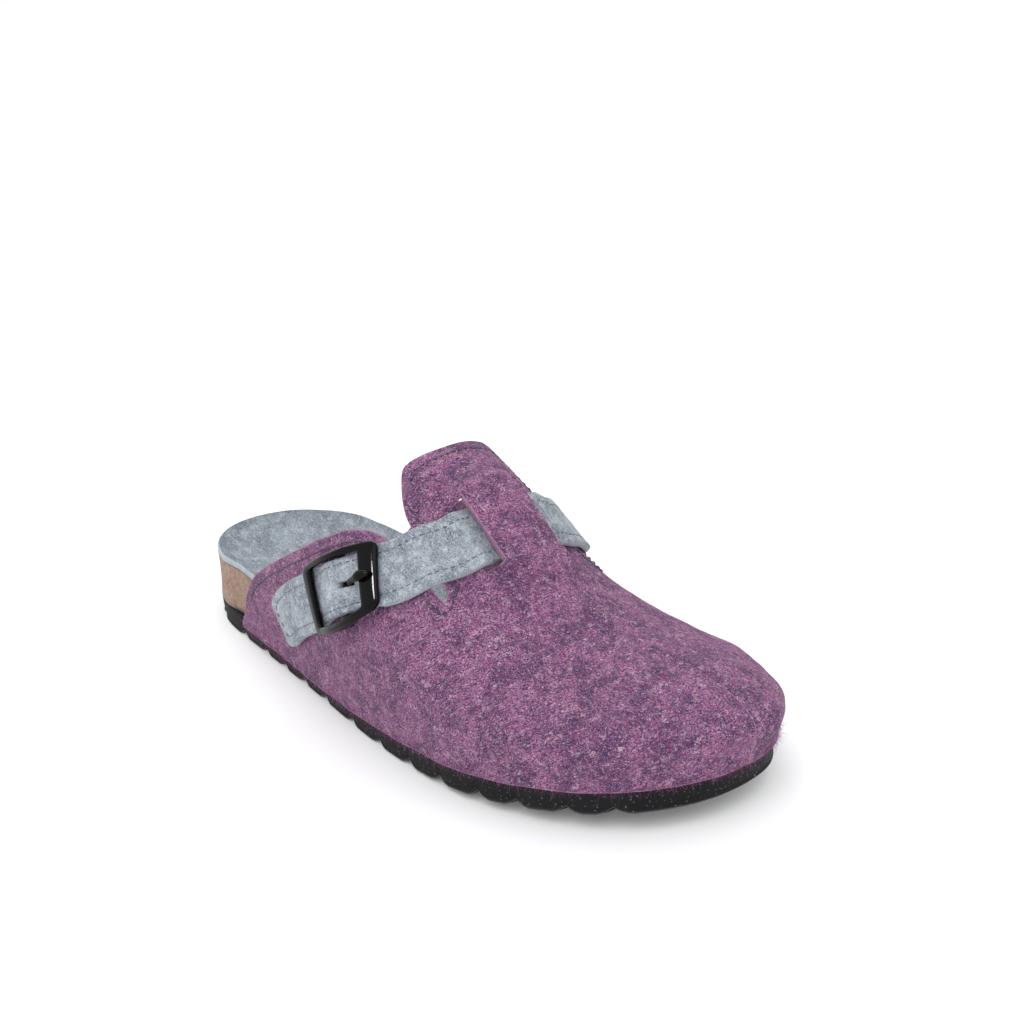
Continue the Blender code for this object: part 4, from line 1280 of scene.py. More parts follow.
@dataclass
class Footbed:
    """The grey felt insole and the cork body under it."""

    last: Last
    cover: float = 2.2 * MM
    stations_count: int = 190
    reach_count: int = 46

    def grid(self, side: int, drop: float, round_edge: float, sag: float) -> Array:
        """Upper face from the middle line to the edge, then round the rim and back underneath.

        Args:
            side: -1 for the outer side of the foot, 1 for the inner.
            drop: how far the face lies under the insole's.
            round_edge: radius of its edge.
            sag: share of the small lumps that shows.

        Returns:
            Points by station, from the middle line out.
        """
        at = cosine_rows(self.stations_count)
        reach = 1 - (1 - np.linspace(0, 1, self.reach_count))**1.3
        top = self.last.bed_top(side, at, reach)
        nx, ny = self.last.bed_edge(side, at)[2:]
        inward = round_edge * np.clip((reach - 0.9) / 0.1, 0, 1)**3
        top = top - np.stack([nx * inward, ny * inward, 0 * nx * inward], axis=-1)
        lump = 0.12 * MM * np.sin(top[..., 0] / 0.0037 + 1.2) * np.sin(top[..., 1] / 0.0051)
        top[..., 2] += lump * sag - drop
        turn = np.linspace(0, math.pi / 2, 5)[1:]
        out = round_edge * np.sin(turn)
        fall = -round_edge * (1 - np.cos(turn)) + 0 * nx
        shoulder = top[:, -1:, :] + np.stack([nx * out, ny * out, fall], axis=-1)
        return np.concatenate([top, shoulder], axis=1)

    def closed(self, name: str, drop: float, round_edge: float, sag: float,
               low: Callable[[int, Array], Array]) -> tuple[bpy.types.Object, Array, Array]:
        """Closed body of two sides.

        Args:
            name: the piece's name.
            drop: how far its upper face lies under the insole's.
            round_edge: radius of its upper edge.
            sag: share of the small lumps that shows.
            low: gives the lower face's points from the side and the upper face's points.

        Returns:
            The piece, its corner points and the quads of its upper face.
        """
        clouds, quads, top_quads, cut, start = [], [], [], [], 0
        for side in (-1, 1):
            top = self.grid(side, drop, round_edge, sag)
            grid = np.concatenate([top, low(side, top)], axis=1)
            rows, columns = grid.shape[:2]
            upper_keep = np.zeros((rows - 1, columns - 1), dtype=bool)
            upper_keep[:, :self.reach_count + 3] = True
            quads.append(grid_quads(rows, columns, start))
            top_quads.append(grid_quads(rows, columns, start, upper_keep))
            share = np.zeros(columns)
            share[self.reach_count:self.reach_count + 5] = 1.0
            cut.append(np.broadcast_to(share, (rows, columns)).ravel())
            clouds.append(self.last.placed(grid).reshape(-1, 3))
            start += rows * columns
        points = np.concatenate(clouds)
        piece = lay_mesh(name, points, np.concatenate(quads), {"cut": np.concatenate(cut)}, merge=0.02 * MM)
        return piece, points, np.concatenate(top_quads)

    def build(self, felt: bpy.types.Material, cork: bpy.types.Material) -> tuple[Array, Array]:
        """Makes the insole and the cork.

        Args:
            felt: the insole's finish.
            cork: the cork's finish.

        Returns:
            The insole's corner points and the quads of its upper face, for the hairs.
        """
        insole, points, quads = self.closed("felt_insole", 0.0, 0.9 * MM, 1.0, self.under_felt)
        fit_in(insole, felt, "insole", ["insole"])
        drop = self.cover + self.last.clearance
        body = self.closed("cork_footbed", drop, 0.25 * MM, 0.3, self.under_cork)[0]
        fit_in(body, cork, "midsole", ["midsole"])
        return points, quads

    def under_felt(self, side: int, top: Array) -> Array:
        """Underside of the insole: its upper face moved down by the cover's thickness, every sixth point.

        Args:
            side: -1 for the outer side of the foot, 1 for the inner.
            top: the upper face's points.

        Returns:
            Points from the rim inwards.
        """
        down = np.array([0, 0, self.cover])
        flat = top[:, :self.reach_count][:, ::-1][:, ::6]
        rim_top = top[:, self.reach_count - 1:self.reach_count]
        rim = top[:, -1:] * np.array([1, 1, 0]) + (rim_top - down) * np.array([0, 0, 1])
        return np.concatenate([rim, flat - down], axis=1)

    def under_cork(self, side: int, top: Array) -> Array:
        """Side wall down to the sole, slightly hollow, and the underside along the sole's top.

        Args:
            side: -1 for the outer side of the foot, 1 for the inner.
            top: the upper face's points.

        Returns:
            Points from the rim inwards.
        """
        at = cosine_rows(self.stations_count)
        ex, ey, nx, ny = self.last.bed_edge(side, at)
        ax, ay = self.last.axis(at)
        base = self.last.feather(share_at(ey)) + self.last.clearance
        down = np.linspace(0, 1, 9)[1:]
        start = top[:, -1, 2][:, None]
        hollow = -0.35 * MM * np.sin(math.pi * down)
        wall = np.stack([ex + nx * hollow, ey + ny * hollow, start + (base - start) * down], axis=-1)
        share = np.array([0.8, 0.4, 0.0])
        x = ax + (ex - ax) * share
        y = ay + (ey - ay) * share
        flat = np.stack([x, y, self.last.feather(share_at(y)) + self.last.clearance], axis=-1)
        return np.concatenate([wall, flat], axis=1)


@dataclass
class TreadSole:
    """The black foam-rubber sole with scalloped edge and grooved tread."""

    last: Last
    inset: float = 0.6 * MM
    notch: float = 2.2 * MM
    reach: float = 5.2 * MM
    waist: float = 0.9 * MM
    rebate: float = 1.9 * MM
    top_inset: float = 0.45 * MM
    stations_count: int = 520

    def lobes(self, along: Array) -> tuple[Array, Array]:
        """Lift of the tread, and the share of the way from a notch: a power curve, so each lobe is flat.

        Args:
            along: places by share of the sole's length.

        Returns:
            The lift, and the share from 0 at a notch to 1.
        """
        marks = np.array(SOLE_NOTCHES)
        k = np.clip(np.searchsorted(marks, along, side="right") - 1, 0, len(marks) - 2)
        long = (marks[k + 1] - marks[k]) * SOLE_LENGTH
        gone = (along - marks[k]) * SOLE_LENGTH
        near = np.minimum(gone, long - gone)
        lift = self.notch * np.clip(1 - near / self.reach, 0, 1)**2.4
        outer_end = (along < marks[1]) & (gone < long / 2) | (along > marks[-2]) & (gone > long / 2)
        return np.where(outer_end, 0.0, lift), np.clip(near / self.reach, 0, 1)

    def build(self, rubber: bpy.types.Material) -> None:
        """Makes the sole: its top, then round the side by the profile, then the grooved underside.

        Args:
            rubber: its finish.
        """
        clouds, quads, painted_bead_highlight, start = [], [], [], 0
        for side in (-1, 1):
            grid, bead = self.section_grid(side)
            rows, columns = grid.shape[:2]
            quads.append(grid_quads(rows, columns, start))
            clouds.append(self.last.placed(grid).reshape(-1, 3))
            painted_bead_highlight.append(bead.ravel())
            start += rows * columns
        piece = lay_mesh("rubber_outsole", np.concatenate(clouds), np.concatenate(quads),
                         {"painted_bead_highlight": np.concatenate(painted_bead_highlight)}, merge=0.02 * MM)
        fit_in(piece, rubber, "outsole", ["outsole"])

    def section_grid(self, side: int) -> tuple[Array, Array]:
        """One side of the sole.

        Args:
            side: -1 for the outer side of the foot, 1 for the inner.

        Returns:
            Points by station, and the share of painted highlight at each: 1 on the bead low on the side. A
            station's side is the profile, drawn in towards the tread, at the notches, and behind, where the
            felt's hem hangs over it.
        """
        last = self.last
        at = cosine_rows(self.stations_count)
        ax, ay = last.axis(at)
        lift, near = self.lobes(at)
        down = np.array(SOLE_PROFILE["down"])
        rebate = self.rebate * smooth(0.160, 0.170, at) * (1 - smooth(0.45, 0.68, at))
        out = np.array(SOLE_PROFILE["out_mm"]) * MM - self.inset * down
        out = out - self.waist * (1 - near)**2 * down - rebate * (1 - smooth(0.34, 0.42, down))
        ex, ey = last.edge(side, at, out)[:2]
        z = last.ground(at) + last.sole_thickness - (last.sole_thickness - lift) * down
        wall = np.stack([ex, ey, z], axis=-1)
        bx, by = last.edge(side, at, -self.top_inset - rebate)[:2]
        share = np.array([0.0, 0.5, 0.9])
        x, y = ax + (bx - ax) * share, ay + (by - ay) * share
        top = np.stack([x, y, last.feather(share_at(y))], axis=-1)
        share = np.array([0.985, 0.95, 0.88, 0.78, 0.65, 0.5, 0.35, 0.2, 0.08, 0.0])
        x, y = ax + (ex[:, -1:] - ax) * share, ay + (ey[:, -1:] - ay) * share
        place = share_at(y)
        low = np.stack([x, y, last.ground(place) + self.lobes(place)[0]], axis=-1)
        grid = np.concatenate([top, wall, low], axis=1)
        bead = np.zeros(grid.shape[:2])
        # share of the painted highlight on the bead low on the side, where it bulges out
        bead[:, 12:15] = (0.5, 1.0, 0.4)
        return grid, bead


@dataclass
class Buckle:
    """Black gloss frame, centre bar and prong."""

    course: Course
    centre: float = FeltStrap.buckle_at
    half_run: float = 19.4 * MM
    half_across: float = 11.8 * MM
    corner: float = 3.0 * MM
    front_bar: float = 6.8 * MM
    rear_bar: float = 4.8 * MM
    side_bar: float = 2.3 * MM
    inner_corner: float = 1.3 * MM
    bulge: tuple[float, float] = (0.6 * MM, 0.4 * MM)
    over: float = 3.8 * MM
    thick: float = 2.3 * MM
    bow: float = 1.4 * MM
    dip_half: float = 7.0 * MM
    dip_low: float = 0.5 * MM
    ring_points: int = 24
    bar_middle: float = 1.6 * MM
    bar_radius: float = 1.0 * MM
    bar_rows: int = 13
    prong_flat: float = 0.95 * MM
    prong_rows: int = 70
    rod_points: int = 16

    @staticmethod
    def ring(half_run: float, half_across: float, corner: float, count: int) -> Array:
        """Rounded rectangle, the same count of points on each quarter circle and on each straight side.

        Args:
            half_run: half of its length along the strap.
            half_across: half of its width.
            corner: radius of its corners.
            count: points on each corner.

        Returns:
            Its points, in order.
        """
        parts = []
        for k, (sx, sy) in enumerate(((1, 1), (-1, 1), (-1, -1), (1, -1))):
            angle = np.linspace(0, math.pi / 2, count) + k * math.pi / 2
            middle = np.array([sx * (half_run - corner), sy * (half_across - corner)])
            parts.append(middle + corner * np.column_stack([np.cos(angle), np.sin(angle)]))
        closed = []
        for k, part in enumerate(parts):
            after = parts[(k + 1) % 4][0]
            share = np.linspace(0, 1, 22)[1:-1, None]
            closed += [part, part[-1] + (after - part[-1]) * share]
        return np.concatenate(closed)

    def build(self, gloss: bpy.types.Material, prong_gloss: bpy.types.Material) -> None:
        """Makes the frame with its centre bar, and the prong.

        Args:
            gloss: the frame's finish.
            prong_gloss: the prong's finish.
        """
        points, faces = self.frame_ring()
        bar_across = np.linspace(-1, 1, self.bar_rows) * (self.half_across - self.side_bar / 2)
        bar = self.across_rod(bar_across)
        start = len(points)
        frame_piece = lay_mesh(
            "buckle_frame_gloss", self.course.last.placed(np.concatenate([points, bar])),
            [*faces, *ring_quads(self.bar_rows, self.rod_points, start), *self.caps(self.bar_rows, start)],
            merge=0.001 * MM)
        fit_in(frame_piece, gloss, "buckle_frame", ["buckle_frame"])
        knots = np.linspace(0, 1, len(PRONG_PATH["run_mm"]))
        fine = np.linspace(0, 1, self.prong_rows)
        run, out, wide = (monotone(knots, np.array(column) * MM, fine) for column in PRONG_PATH.values())
        piece = lay_mesh(
            "buckle_prong_gloss", self.course.last.placed(self.along_rod(run, out, wide)),
            [*ring_quads(self.prong_rows, self.rod_points), *self.caps(self.prong_rows, 0)],
            merge=0.001 * MM)
        fit_in(piece, prong_gloss, "buckle_prong", ["buckle_prong"])

    def outlines(self) -> tuple[Array, Array]:
        """Outer and inner outline of the frame, bulging at the lower side, and spread by the table.

        Returns:
            Points of both, by length and width.
        """
        outer = self.ring(self.half_run, self.half_across, self.corner, 12)
        inner = self.ring(self.half_run - (self.front_bar + self.rear_bar) / 2,
                          self.half_across - self.side_bar, self.inner_corner, 12)
        inner[:, 0] += (self.front_bar - self.rear_bar) / 2
        lean = np.cos(np.clip(np.abs(outer[:, 0]) / self.half_run, 0, 1) * math.pi / 2)
        for ring, bulge in zip((outer, inner), self.bulge):
            ring[:, 1] -= bulge * lean * (ring[:, 1] < 0)
            share = 0.5 + ring[:, 0] / (2 * self.half_run)
            upper, lower = read(BUCKLE_SPREAD, "upper", share), read(BUCKLE_SPREAD, "lower", share)
            ring[:, 1] *= np.where(ring[:, 1] > 0, upper, lower)
        return outer, inner

    def frame_ring(self) -> tuple[Array, Array]:
        """The frame without its bar.

        Returns:
            Its points and quads. A section is a superellipse from the outer to the inner outline. It
            stands over the strap, bowed in the middle, and dips to the upper where the bar is.
        """
        outer, inner = self.outlines()
        turn = full_turn(self.ring_points)
        sideways = np.sign(np.cos(turn)) * np.abs(np.cos(turn))**(2 / 3.6)
        upward = np.sign(np.sin(turn)) * np.abs(np.sin(turn))**(2 / 3.2)
        share = (0.5 + 0.5 * sideways)[None, :, None]
        flat = outer[:, None] + (inner[:, None] - outer[:, None]) * share
        run = flat[..., 0]
        bow = self.bow * np.cos(np.clip(np.abs(run) / self.half_run, 0, 1) * math.pi / 2)**2
        dip = smooth(0, 1, np.clip(1 - np.abs(run) / self.dip_half, 0, 1))
        base = self.over + bow
        low = base - (base - self.dip_low) * dip
        high = base + self.thick
        out = (low + high) / 2 + (high - low) / 2 * upward
        points = self.course.at(-1, self.centre + run, flat[..., 1], out)
        index = np.arange(len(outer) * self.ring_points).reshape(len(outer), self.ring_points)
        after = np.roll(index, -1, axis=0)
        beside = np.roll(index, -1, axis=1)
        faces = np.stack([index, beside, np.roll(after, -1, axis=1), after], axis=-1)
        return points.reshape(-1, 3), faces.reshape(-1, 4)

    def caps(self, rows: int, start: int) -> list[list[int]]:
        """The two end faces of a rod."""
        last = start + (rows - 1) * self.rod_points
        return [list(range(start, start + self.rod_points))[::-1], list(range(last, last + self.rod_points))]

    def across_rod(self, across: Array) -> Array:
        """Round rod across the strap: rings of points at the places given.

        Args:
            across: places across the strap, towards its upper edge.

        Returns:
            The rod's points.
        """
        turn = full_turn(self.rod_points)
        run = self.centre + self.bar_radius * np.cos(turn) + 0 * across[:, None]
        out = self.bar_middle + self.bar_radius * np.sin(turn) + 0 * across[:, None]
        return self.course.at(-1, run, across[:, None] + 0 * turn, out).reshape(-1, 3)

    def along_rod(self, run: Array, out: Array, radius: Array) -> Array:
        """Flattened rod along the strap: rings of points square to a path by run and height.

        Args:
            run: lengths from the buckle's middle.
            out: heights above the upper.
            radius: half widths of the rod.

        Returns:
            The rod's points.
        """
        turn = full_turn(self.rod_points)
        step = np.stack([np.gradient(run), np.gradient(out)])
        step = step / np.hypot(*step)
        flat = np.minimum(radius, self.prong_flat)
        ring_run = run[:, None] - step[1][:, None] * flat[:, None] * np.sin(turn)
        ring_out = out[:, None] + step[0][:, None] * flat[:, None] * np.sin(turn)
        ring_across = radius[:, None] * np.cos(turn)
        return self.course.at(-1, self.centre + ring_run, ring_across, ring_out).reshape(-1, 3)


@dataclass
class Stitching:
    """Sewn lines as separate short arched stitches."""

    last: Last
    pitch: float = 2.55 * MM
    visible: float = 0.80
    radius: float = 0.29 * MM
    arch: float = 0.25 * MM
    dip: float = 0.16 * MM
    inset: float = 3.6 * MM
    line_start: float = 0.205
    rows: int = 7
    ring: int = 6

    def stitches(self, name: str, line: Array, normals: Array, finish: bpy.types.Material, slot: str) -> None:
        """Lays stitches along a line: tubes whose ends dip into the felt and whose middles arch over it.

        Args:
            name: the piece's name.
            line: points of the line on the surface, in the row frame.
            normals: the surface's normals there.
            finish: the thread.
            slot: not used.
        """
        gone = np.concatenate([[0.0], np.cumsum(np.linalg.norm(np.diff(line, axis=0), axis=1))])
        count = max(int(gone[-1] / self.pitch), 1)
        first = np.arange(count) * gone[-1] / count
        share = np.linspace(0, 1, self.rows)
        at = first[:, None] + share * self.pitch * self.visible
        path = np.stack([np.interp(at, gone, line[:, i]) for i in range(3)], axis=-1)
        normal = unit(np.stack([np.interp(at, gone, normals[:, i]) for i in range(3)], axis=-1))
        ahead = unit(np.gradient(path, axis=1))
        sideways = unit(np.cross(normal, ahead))
        height = self.arch * np.sin(math.pi * share)**0.6 - self.dip * (1 - np.sin(math.pi * share))
        path = path + normal * height[None, :, None]
        thin = self.radius * (0.62 + 0.38 * np.sin(math.pi * share))
        turn = full_turn(self.ring)
        around = sideways[:, :, None] * np.cos(turn)[:, None] + normal[:, :, None] * np.sin(turn)[:, None]
        points = path[:, :, None] + around * thin[None, :, None, None]
        each = self.rows * self.ring
        faces = np.concatenate([ring_quads(self.rows, self.ring, k * each) for k in range(count)])
        twist = np.broadcast_to((at / MM)[:, :, None] + turn / math.pi, points.shape[:3])
        piece = lay_mesh(name, points.reshape(-1, 3), faces, {"twist": twist.ravel()})
        with editing(piece.data) as work:
            open_edges = [edge for edge in work.edges if edge.is_boundary]
            bmesh.ops.holes_fill(work, edges=open_edges, sides=self.ring)
            bmesh.ops.recalc_face_normals(work, faces=work.faces)
        fit_in(piece, finish, slot)

    def edge_line(self, felt: FeltUpper) -> tuple[Array, Array]:
        """The line inside the quarter's and the tongue's edges on the outer side.

        The edge is walked from the heel end, round the slit's front and up the tongue. The line is the edge
        moved into the felt by the inset, measured on the surface, with a round join at the slit.

        Args:
            felt: the upper's sizes.

        Returns:
            The line's places along, and their rises.
        """
        at = np.linspace(self.line_start, felt.slit_front, 160)
        lower = np.column_stack([at, read(QUARTER_TOP, "rise", at)])
        back = np.linspace(felt.slit_front, felt.tongue_top + 0.004, 120)[1:]
        upper = np.column_stack([back, read(TONGUE_SIDE, "rise", back)])
        lines = []
        for rows in (lower, upper):
            lengths = self.scale(rows[:, 0], rows[:, 1])
            tangent = unit(np.gradient(rows, axis=0) * lengths)
            inward = np.column_stack([tangent[:, 1], -tangent[:, 0]])
            lines.append(rows + inward * self.inset / lengths)
        tip_rise = TONGUE_SIDE["rise"][-1] - 0.002
        by_along, by_rise = self.scale(np.array([felt.slit_front]), np.array([tip_rise]))[0]
        angle = np.linspace(-math.pi / 2, math.pi / 2, 13)[1:-1]
        tip = np.column_stack([felt.slit_front - 0.002 + 0.9 * self.inset * np.cos(angle) / by_along,
                               tip_rise + self.inset * np.sin(angle) / by_rise])
        lower_line = lines[0][lines[0][:, 0] < tip[0, 0]]
        below_corner = lines[1][:, 0] > felt.tongue_top + 0.0145
        upper_line = lines[1][(lines[1][:, 1] > tip[-1, 1]) & below_corner]
        rise = np.linspace(upper_line[-1, 1] + 0.012, 1.0, 40)
        depth, _, turn = felt.dip
        top_at = felt.tongue_top + self.inset / SOLE_LENGTH
        dipped = top_at + depth * np.clip(1 - ((1 - rise) / turn)**2, 0, 1) * 0.82
        top = np.column_stack([dipped, rise])
        return np.concatenate([lower_line, tip, upper_line, top]).T

    def scale(self, along: Array, rise: Array) -> Array:
        """Lengths of a unit of along and of a unit of rise on the surface, side by side.

        Args:
            along: places by share of the sole's length.
            rise: places up the upper, 0 at the sole and 1 on the ridge.

        Returns:
            Two lengths for each place.
        """
        step = 0.002
        by_along = self.last.skin(-1, along + step, rise) - self.last.skin(-1, along - step, rise)
        by_rise = self.last.skin(-1, along, rise + step) - self.last.skin(-1, along, rise - step)
        return np.linalg.norm([by_along, by_rise], axis=-1).T / (2 * step)


@dataclass
class Fuzz:
    """Loose wool hairs standing on a felt face, as narrow bent ribbons.

    long and rise are the least and the most of a hair's length and of its lift from the face.
    """

    name: str
    count: int
    seed: int
    long: tuple[float, float] = (1.2 * MM, 3.2 * MM)
    wide: float = 0.075 * MM
    rise: tuple[float, float] = (0.10, 0.55)
    curl: float = 0.9

    def roots(self, points: Array, quads: Array, rng: np.random.Generator) -> tuple[Array, Array]:
        """Random places on the quads, as many on each as its area asks, with the face normals.

        Args:
            points: corner points of the face.
            quads: its quads.
            rng: the seeded random source.

        Returns:
            Roots and normals.
        """
        corner = points[quads]
        across = corner[:, 2] - corner[:, 0]
        other = corner[:, 3] - corner[:, 1]
        normal = np.cross(across, other)
        area = np.linalg.norm(normal, axis=1)
        chosen = rng.choice(len(quads), self.count, p=area / area.sum())
        u, v = rng.random((2, self.count))[..., None]
        picked = corner[chosen]
        near = picked[:, 0] * (1 - u) + picked[:, 1] * u
        far = picked[:, 3] * (1 - u) + picked[:, 2] * u
        return near * (1 - v) + far * v, unit(normal[chosen])

    def grow(self, place: Array, normal: Array, rng: np.random.Generator, finish: bpy.types.Material,
             slot: str, lean: Union[Array, None] = None) -> None:
        """Makes the hairs.

        A hair starts along a random direction near the surface and turns steadily about a random axis. Its
        ribbon is widest at the root and lies flat on the surface.

        Args:
            place: their roots.
            normal: the felt's normals there.
            rng: the seeded random source.
            finish: hair finish.
            slot: not used.
            lean: a direction they bend towards, if any.
        """
        count = len(place)
        flat = unit(np.cross(normal, rng.normal(size=(count, 3))))
        lift = rng.uniform(*self.rise, size=(count, 1))**1.3
        heading = unit(flat * (1 - lift) + normal * lift + (0 if lean is None else lean))
        axis = unit(rng.normal(size=(count, 3)) + 1.2 * normal)
        long = rng.uniform(*self.long, size=(count, 1))
        bend = rng.normal(0, self.curl, size=(count, 1))
        rows = [place - normal * 0.10 * MM]
        for _ in range(3):
            rows.append(rows[-1] + heading * long / 3)
            heading = unit(heading + np.cross(axis, heading) * bend / 3 * 1.6)
        path = np.stack(rows, axis=1)
        twist = 0.25 * rng.normal(size=(count, 3))
        side = unit(np.cross(path[:, -1] - path[:, 0], normal) + twist)[:, None]
        taper = np.array([1.0, 0.85, 0.6, 0.25])[:, None] / 2
        wide = self.wide * rng.uniform(0.55, 1.25, size=(count, 1, 1)) * taper
        points = np.stack([path - side * wide, path + side * wide], axis=2).reshape(-1, 3)
        base = np.arange(count)[:, None, None] * 8 + np.array([0, 2, 4])[None, :, None]
        faces = (base + np.array([0, 1, 3, 2])).reshape(-1, 4)
        tint = np.repeat(rng.random(count), 8)
        piece = lay_mesh(self.name, points, faces, {"tint": tint})
        fit_in(piece, finish, slot)


@dataclass
class Studio:
    """Floor, light and camera."""

    place: tuple[float, float, float] = (-0.2851, -0.3806, 0.2502)
    right: tuple[float, float, float] = (0.762, -0.647, -0.022)
    back: tuple[float, float, float] = (-0.598, -0.716, 0.360)
    focal_pixels: float = 1454.0
    picture_pixels: float = 1024.0
    floor_half: float = 40.0
    sky: tuple[float, float, float, float] = (0.98, 0.99, 1.0, 1.0)
    sky_strength: float = 1.05

    def set_up(self, last: Last) -> None:
        """Makes them all.

        Args:
            last: gives the shift from the drawing's frame to the row frame.
        """
        board = Board("floor_white")
        mottle = board.noise(3.0, 2.0, 0.5)
        paint = board.finish(
            Base_Color=board.blend(mottle, (0.90, 0.90, 0.905), (0.92, 0.92, 0.92)), Roughness=0.9,
            Specular_IOR_Level=0.1, Emission_Color=(1.0, 1.0, 1.0), Emission_Strength=0.06)
        corners = self.floor_half * np.array([(-1, -1, 0), (1, -1, 0), (1, 1, 0), (-1, 1, 0)])
        floor = lay_mesh("studio_floor", corners, [(0, 1, 2, 3)])
        floor.data.materials.append(paint)
        world = bpy.data.worlds.new("studio_sky")
        world.use_nodes = True
        background = world.node_tree.nodes["Background"]
        background.inputs["Color"].default_value = self.sky
        background.inputs["Strength"].default_value = self.sky_strength
        bpy.context.scene.world = world
        self.lamp("key_softbox", (-0.9, -0.5, 1.5), 1.4, 11.0)
        self.lamp("fill_softbox", (1.1, -1.2, 1.0), 1.2, 3.0)
        self.lamp("back_softbox", (0.4, 1.5, 1.3), 1.2, 5.0)
        self.lamp("glint_softbox", (-1.0, 0.2, 0.6), 0.2, 14.0, lights_felt=False)
        camera_data = bpy.data.cameras.new("photo_camera")
        camera_data.sensor_width = 36.0
        camera_data.lens = self.focal_pixels / self.picture_pixels * camera_data.sensor_width
        camera_data.clip_start = 0.01
        camera = bpy.data.objects.new("photo_camera", camera_data)
        bpy.context.scene.collection.objects.link(camera)
        back = Vector(self.back).normalized()
        right = (Vector(self.right) - back * Vector(self.right).dot(back)).normalized()
        turned = Matrix((right, back.cross(right), back)).transposed().to_4x4()
        place = Vector(self.place) + Vector((last.shift[0], last.shift[1], 0.0))
        camera.matrix_world = Matrix.Translation(place) @ turned
        bpy.context.scene.camera = camera
        bpy.context.scene.view_settings.view_transform = "Standard"

    @staticmethod
    def lamp(name: str, place: tuple[float, float, float], size: float, power: float,
             lights_felt: bool = True) -> None:
        """One soft square light, aimed at the shoe, or one that only glints on gloss.

        Args:
            name: its name.
            place: where it stands.
            size: its width.
            power: its power in watts.
            lights_felt: whether it lights dull faces too.
        """
        data = bpy.data.lights.new(name, "AREA")
        data.size = size
        data.energy = power
        lamp = bpy.data.objects.new(name, data)
        lamp.visible_diffuse = lights_felt
        bpy.context.scene.collection.objects.link(lamp)
        aim = Vector((0.0, 0.0, 0.03)) - Vector(place)
        turned = aim.to_track_quat("-Z", "Y").to_matrix().to_4x4()
        lamp.matrix_world = Matrix.Translation(Vector(place)) @ turned


# Colours of the wool, shared by the purple felt and its loose hairs.
ROSE = linear(168, 100, 142)
PLUM = linear(74, 42, 76)
VIOLET = linear(58, 56, 98)
LILAC = linear(176, 152, 182)
CREAM = linear(212, 188, 186)
WINE = linear(144, 56, 102)

PURPLE_FELT = FeltFinish(
    "wool_felt_plum", deep=linear(62, 44, 76), middle=linear(152, 102, 138),
    pale=linear(198, 160, 182), cut=linear(184, 136, 164), fibres=(
        Fibre(ROSE, (15, -20, 75), 0.57, 0.7),
        Fibre(LILAC, (-30, 50, 35), 0.60, 0.6),
        Fibre(CREAM, (-55, 20, -30), 0.63, 0.6),
        Fibre(WINE, (60, -40, 100), 0.58, 0.8),
        Fibre(VIOLET, (10, 8, 12), 0.575, 0.9),
        Fibre(PLUM, (40, 35, 130), 0.555, 0.85)))
STRAP_FELT = FeltFinish(
    "wool_felt_pale_grey", deep=linear(112, 121, 130), middle=linear(152, 160, 167),
    pale=linear(182, 189, 195), cut=linear(180, 187, 193), fibres=(
        Fibre(linear(84, 90, 104), (10, 8, 12), 0.635, 0.65),
        Fibre(linear(196, 202, 207), (15, -20, 75), 0.59, 0.5),
        Fibre(linear(104, 110, 128), (40, 35, 130), 0.625, 0.6),
        Fibre(linear(192, 198, 204), (-30, 50, 35), 0.60, 0.5),
        Fibre(linear(74, 80, 92), (60, -40, 100), 0.655, 0.6)))
INSOLE_FELT = FeltFinish(
    "wool_felt_grey", deep=linear(122, 131, 140), middle=linear(152, 161, 169),
    pale=linear(180, 187, 193), cut=linear(182, 189, 195), fibres=(
        Fibre(linear(82, 90, 102), (10, 8, 12), 0.625, 0.65),
        Fibre(linear(196, 201, 206), (15, -20, 75), 0.60, 0.5),
        Fibre(linear(94, 102, 114), (40, 35, 130), 0.615, 0.6),
        Fibre(linear(186, 192, 197), (-30, 50, 35), 0.61, 0.45)))
PURPLE_HAIR = HairFinish(
    "wool_hair_plum", (ROSE, PLUM, linear(150, 124, 152), linear(142, 84, 124), VIOLET, WINE))
GREY_HAIR = HairFinish(
    "wool_hair_grey", (linear(200, 203, 207), linear(150, 154, 160), linear(110, 112, 122),
                       linear(215, 217, 220)))
# pale is the colour of the glints painted into each thread, a painted highlight
UPPER_THREAD = ThreadFinish("thread_ink", dark=linear(38, 36, 52), pale=linear(150, 158, 188))
STRAP_THREAD = ThreadFinish("thread_lavender", dark=linear(84, 80, 112), pale=linear(170, 166, 196))


def main() -> None:
    """Builds the shoe piece by piece, then the studio."""
    logging.basicConfig(level=logging.INFO, format="%(message)s")
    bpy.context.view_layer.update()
    last = Last.make(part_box("outsole"))
    course = Course(last)
    Studio().set_up(last)
    felt = FeltUpper(last)
    felt_face = felt.build(PURPLE_FELT.make())
    strap = FeltStrap(course)
    strap_face = strap.build(STRAP_FELT.make())
    bed_face = Footbed(last).build(INSOLE_FELT.make(), CorkFinish().make())
    TreadSole(last).build(RubberFinish().make())
    Buckle(course).build(GlossFinish("gloss_black").make(), GlossFinish("gloss_black_prong").make())
    sew_upper(last, felt)
    sew_strap(last, strap)
    grow_fuzz(last, felt_face, strap_face, bed_face)


def sew_upper(last: Last, felt: FeltUpper) -> None:
    """Sews the line along quarters, slits and tongue, one piece from the outer heel end to the inner one.

    Args:
        last: the form.
        felt: the upper's sizes.
    """
    sewing = Stitching(last)
    along, rise = sewing.edge_line(felt)
    turn = np.concatenate([rise - 1, (1 - rise)[::-1][1:]])
    both = np.concatenate([along, along[::-1][1:]])
    points = last.skin_at(both, turn)
    normals = last.normal_at(both, turn)
    line = last.placed(points + normals * felt.lumps(points)[..., None])
    sewing.stitches("thread_upper", line, normals, UPPER_THREAD.make(), "upper")


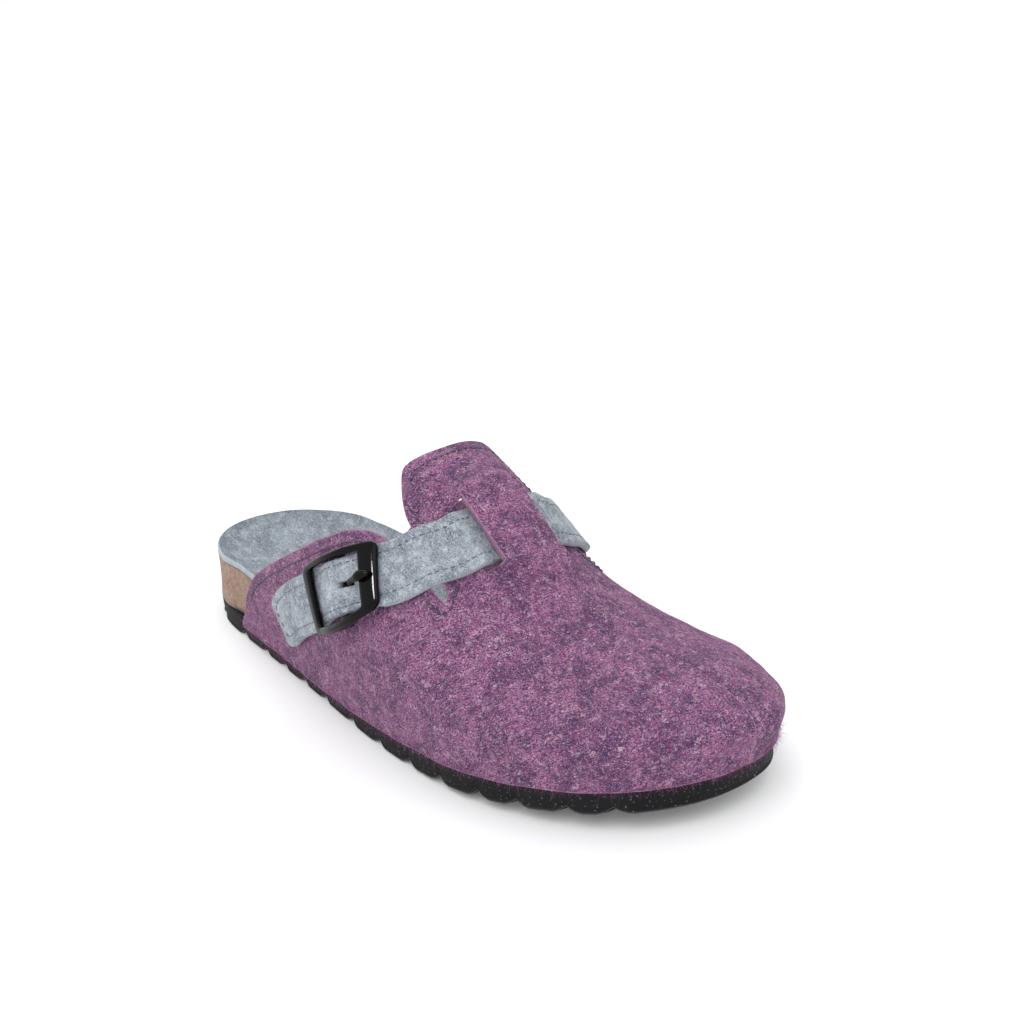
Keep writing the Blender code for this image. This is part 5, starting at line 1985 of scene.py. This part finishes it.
def sew_strap(last: Last, strap: FeltStrap) -> None:
    """Sews the strap's two long seams and the one across its tail.

    Args:
        last: the form.
        strap: the strap's sizes.
    """
    sewing = Stitching(last, radius=0.17 * MM)
    thread = STRAP_THREAD.make()
    inset = strap.seam_inset
    run = np.linspace(-strap.sewn + 3 * MM, strap.tail - inset, 300)
    corner = strap.corner * 0.55
    left = np.clip((strap.tail - inset - run) / corner, 0, 1)
    line_half = strap.width / 2 - inset - corner * quarter_fall(left)
    end_across = np.linspace(line_half[-1], -line_half[-1], 30)[1:-1]
    for name, runs, across in (
            ("thread_strap_upper_edge", run, line_half), ("thread_strap_lower_edge", run, -line_half),
            ("thread_strap_tail", np.full(28, run[-1]), end_across)):
        tops = [strap.top(side, np.abs(runs), across, over) for side in (1, -1) for over in (0.0, MM)]
        inner = (runs < 0)[:, None]
        points = np.where(inner, tops[0], tops[2])
        normals = unit(np.where(inner, tops[1], tops[3]) - points)
        sewing.stitches(name, points, normals, thread, "strap")


def grow_fuzz(last: Last, felt: tuple[Array, Array], strap: tuple[Array, Array],
              bed: tuple[Array, Array]) -> None:
    """Grows the hairs on every felt face, and the longer ones that hang over the sole's edge.

    Args:
        last: the form.
        felt: corner points and quads of the upper.
        strap: the same of the strap.
        bed: the same of the insole.
    """
    purple = PURPLE_HAIR.make()
    grey = GREY_HAIR.make()
    fuzz = Fuzz("fuzz_upper", 24000, 7, wide=0.055 * MM)
    rng = np.random.default_rng(fuzz.seed)
    place, normal = fuzz.roots(*felt, rng)
    fuzz.grow(place, normal, rng, purple, "upper")
    hem = Fuzz("fuzz_hem", 4200, 11, (1.6 * MM, 4.2 * MM), 0.06 * MM, (0.2, 0.7), 1.4)
    rng = np.random.default_rng(hem.seed)
    at = 0.5 - 0.5 * np.cos(rng.uniform(0.9, math.pi, hem.count))
    turn = np.where(rng.random(hem.count) < 0.5, -1.0, 1.0) * rng.uniform(0.955, 0.998, hem.count)
    points = last.placed(last.skin_at(at, turn))
    points[:, 2] -= FeltUpper.hem(at)
    normal = last.normal_at(at, turn)
    hem.grow(points, normal, rng, purple, "upper", np.array([0.0, 0.0, -0.5]))
    for slot, count, seed, face in (("strap", 5200, 13, strap), ("insole", 7000, 17, bed)):
        short = Fuzz("fuzz_" + slot, count, seed, (0.9 * MM, 2.4 * MM), 0.06 * MM)
        rng = np.random.default_rng(seed)
        place, normal = short.roots(*face, rng)
        short.grow(place, normal, rng, grey, slot)


if __name__ == "__main__":
    main()
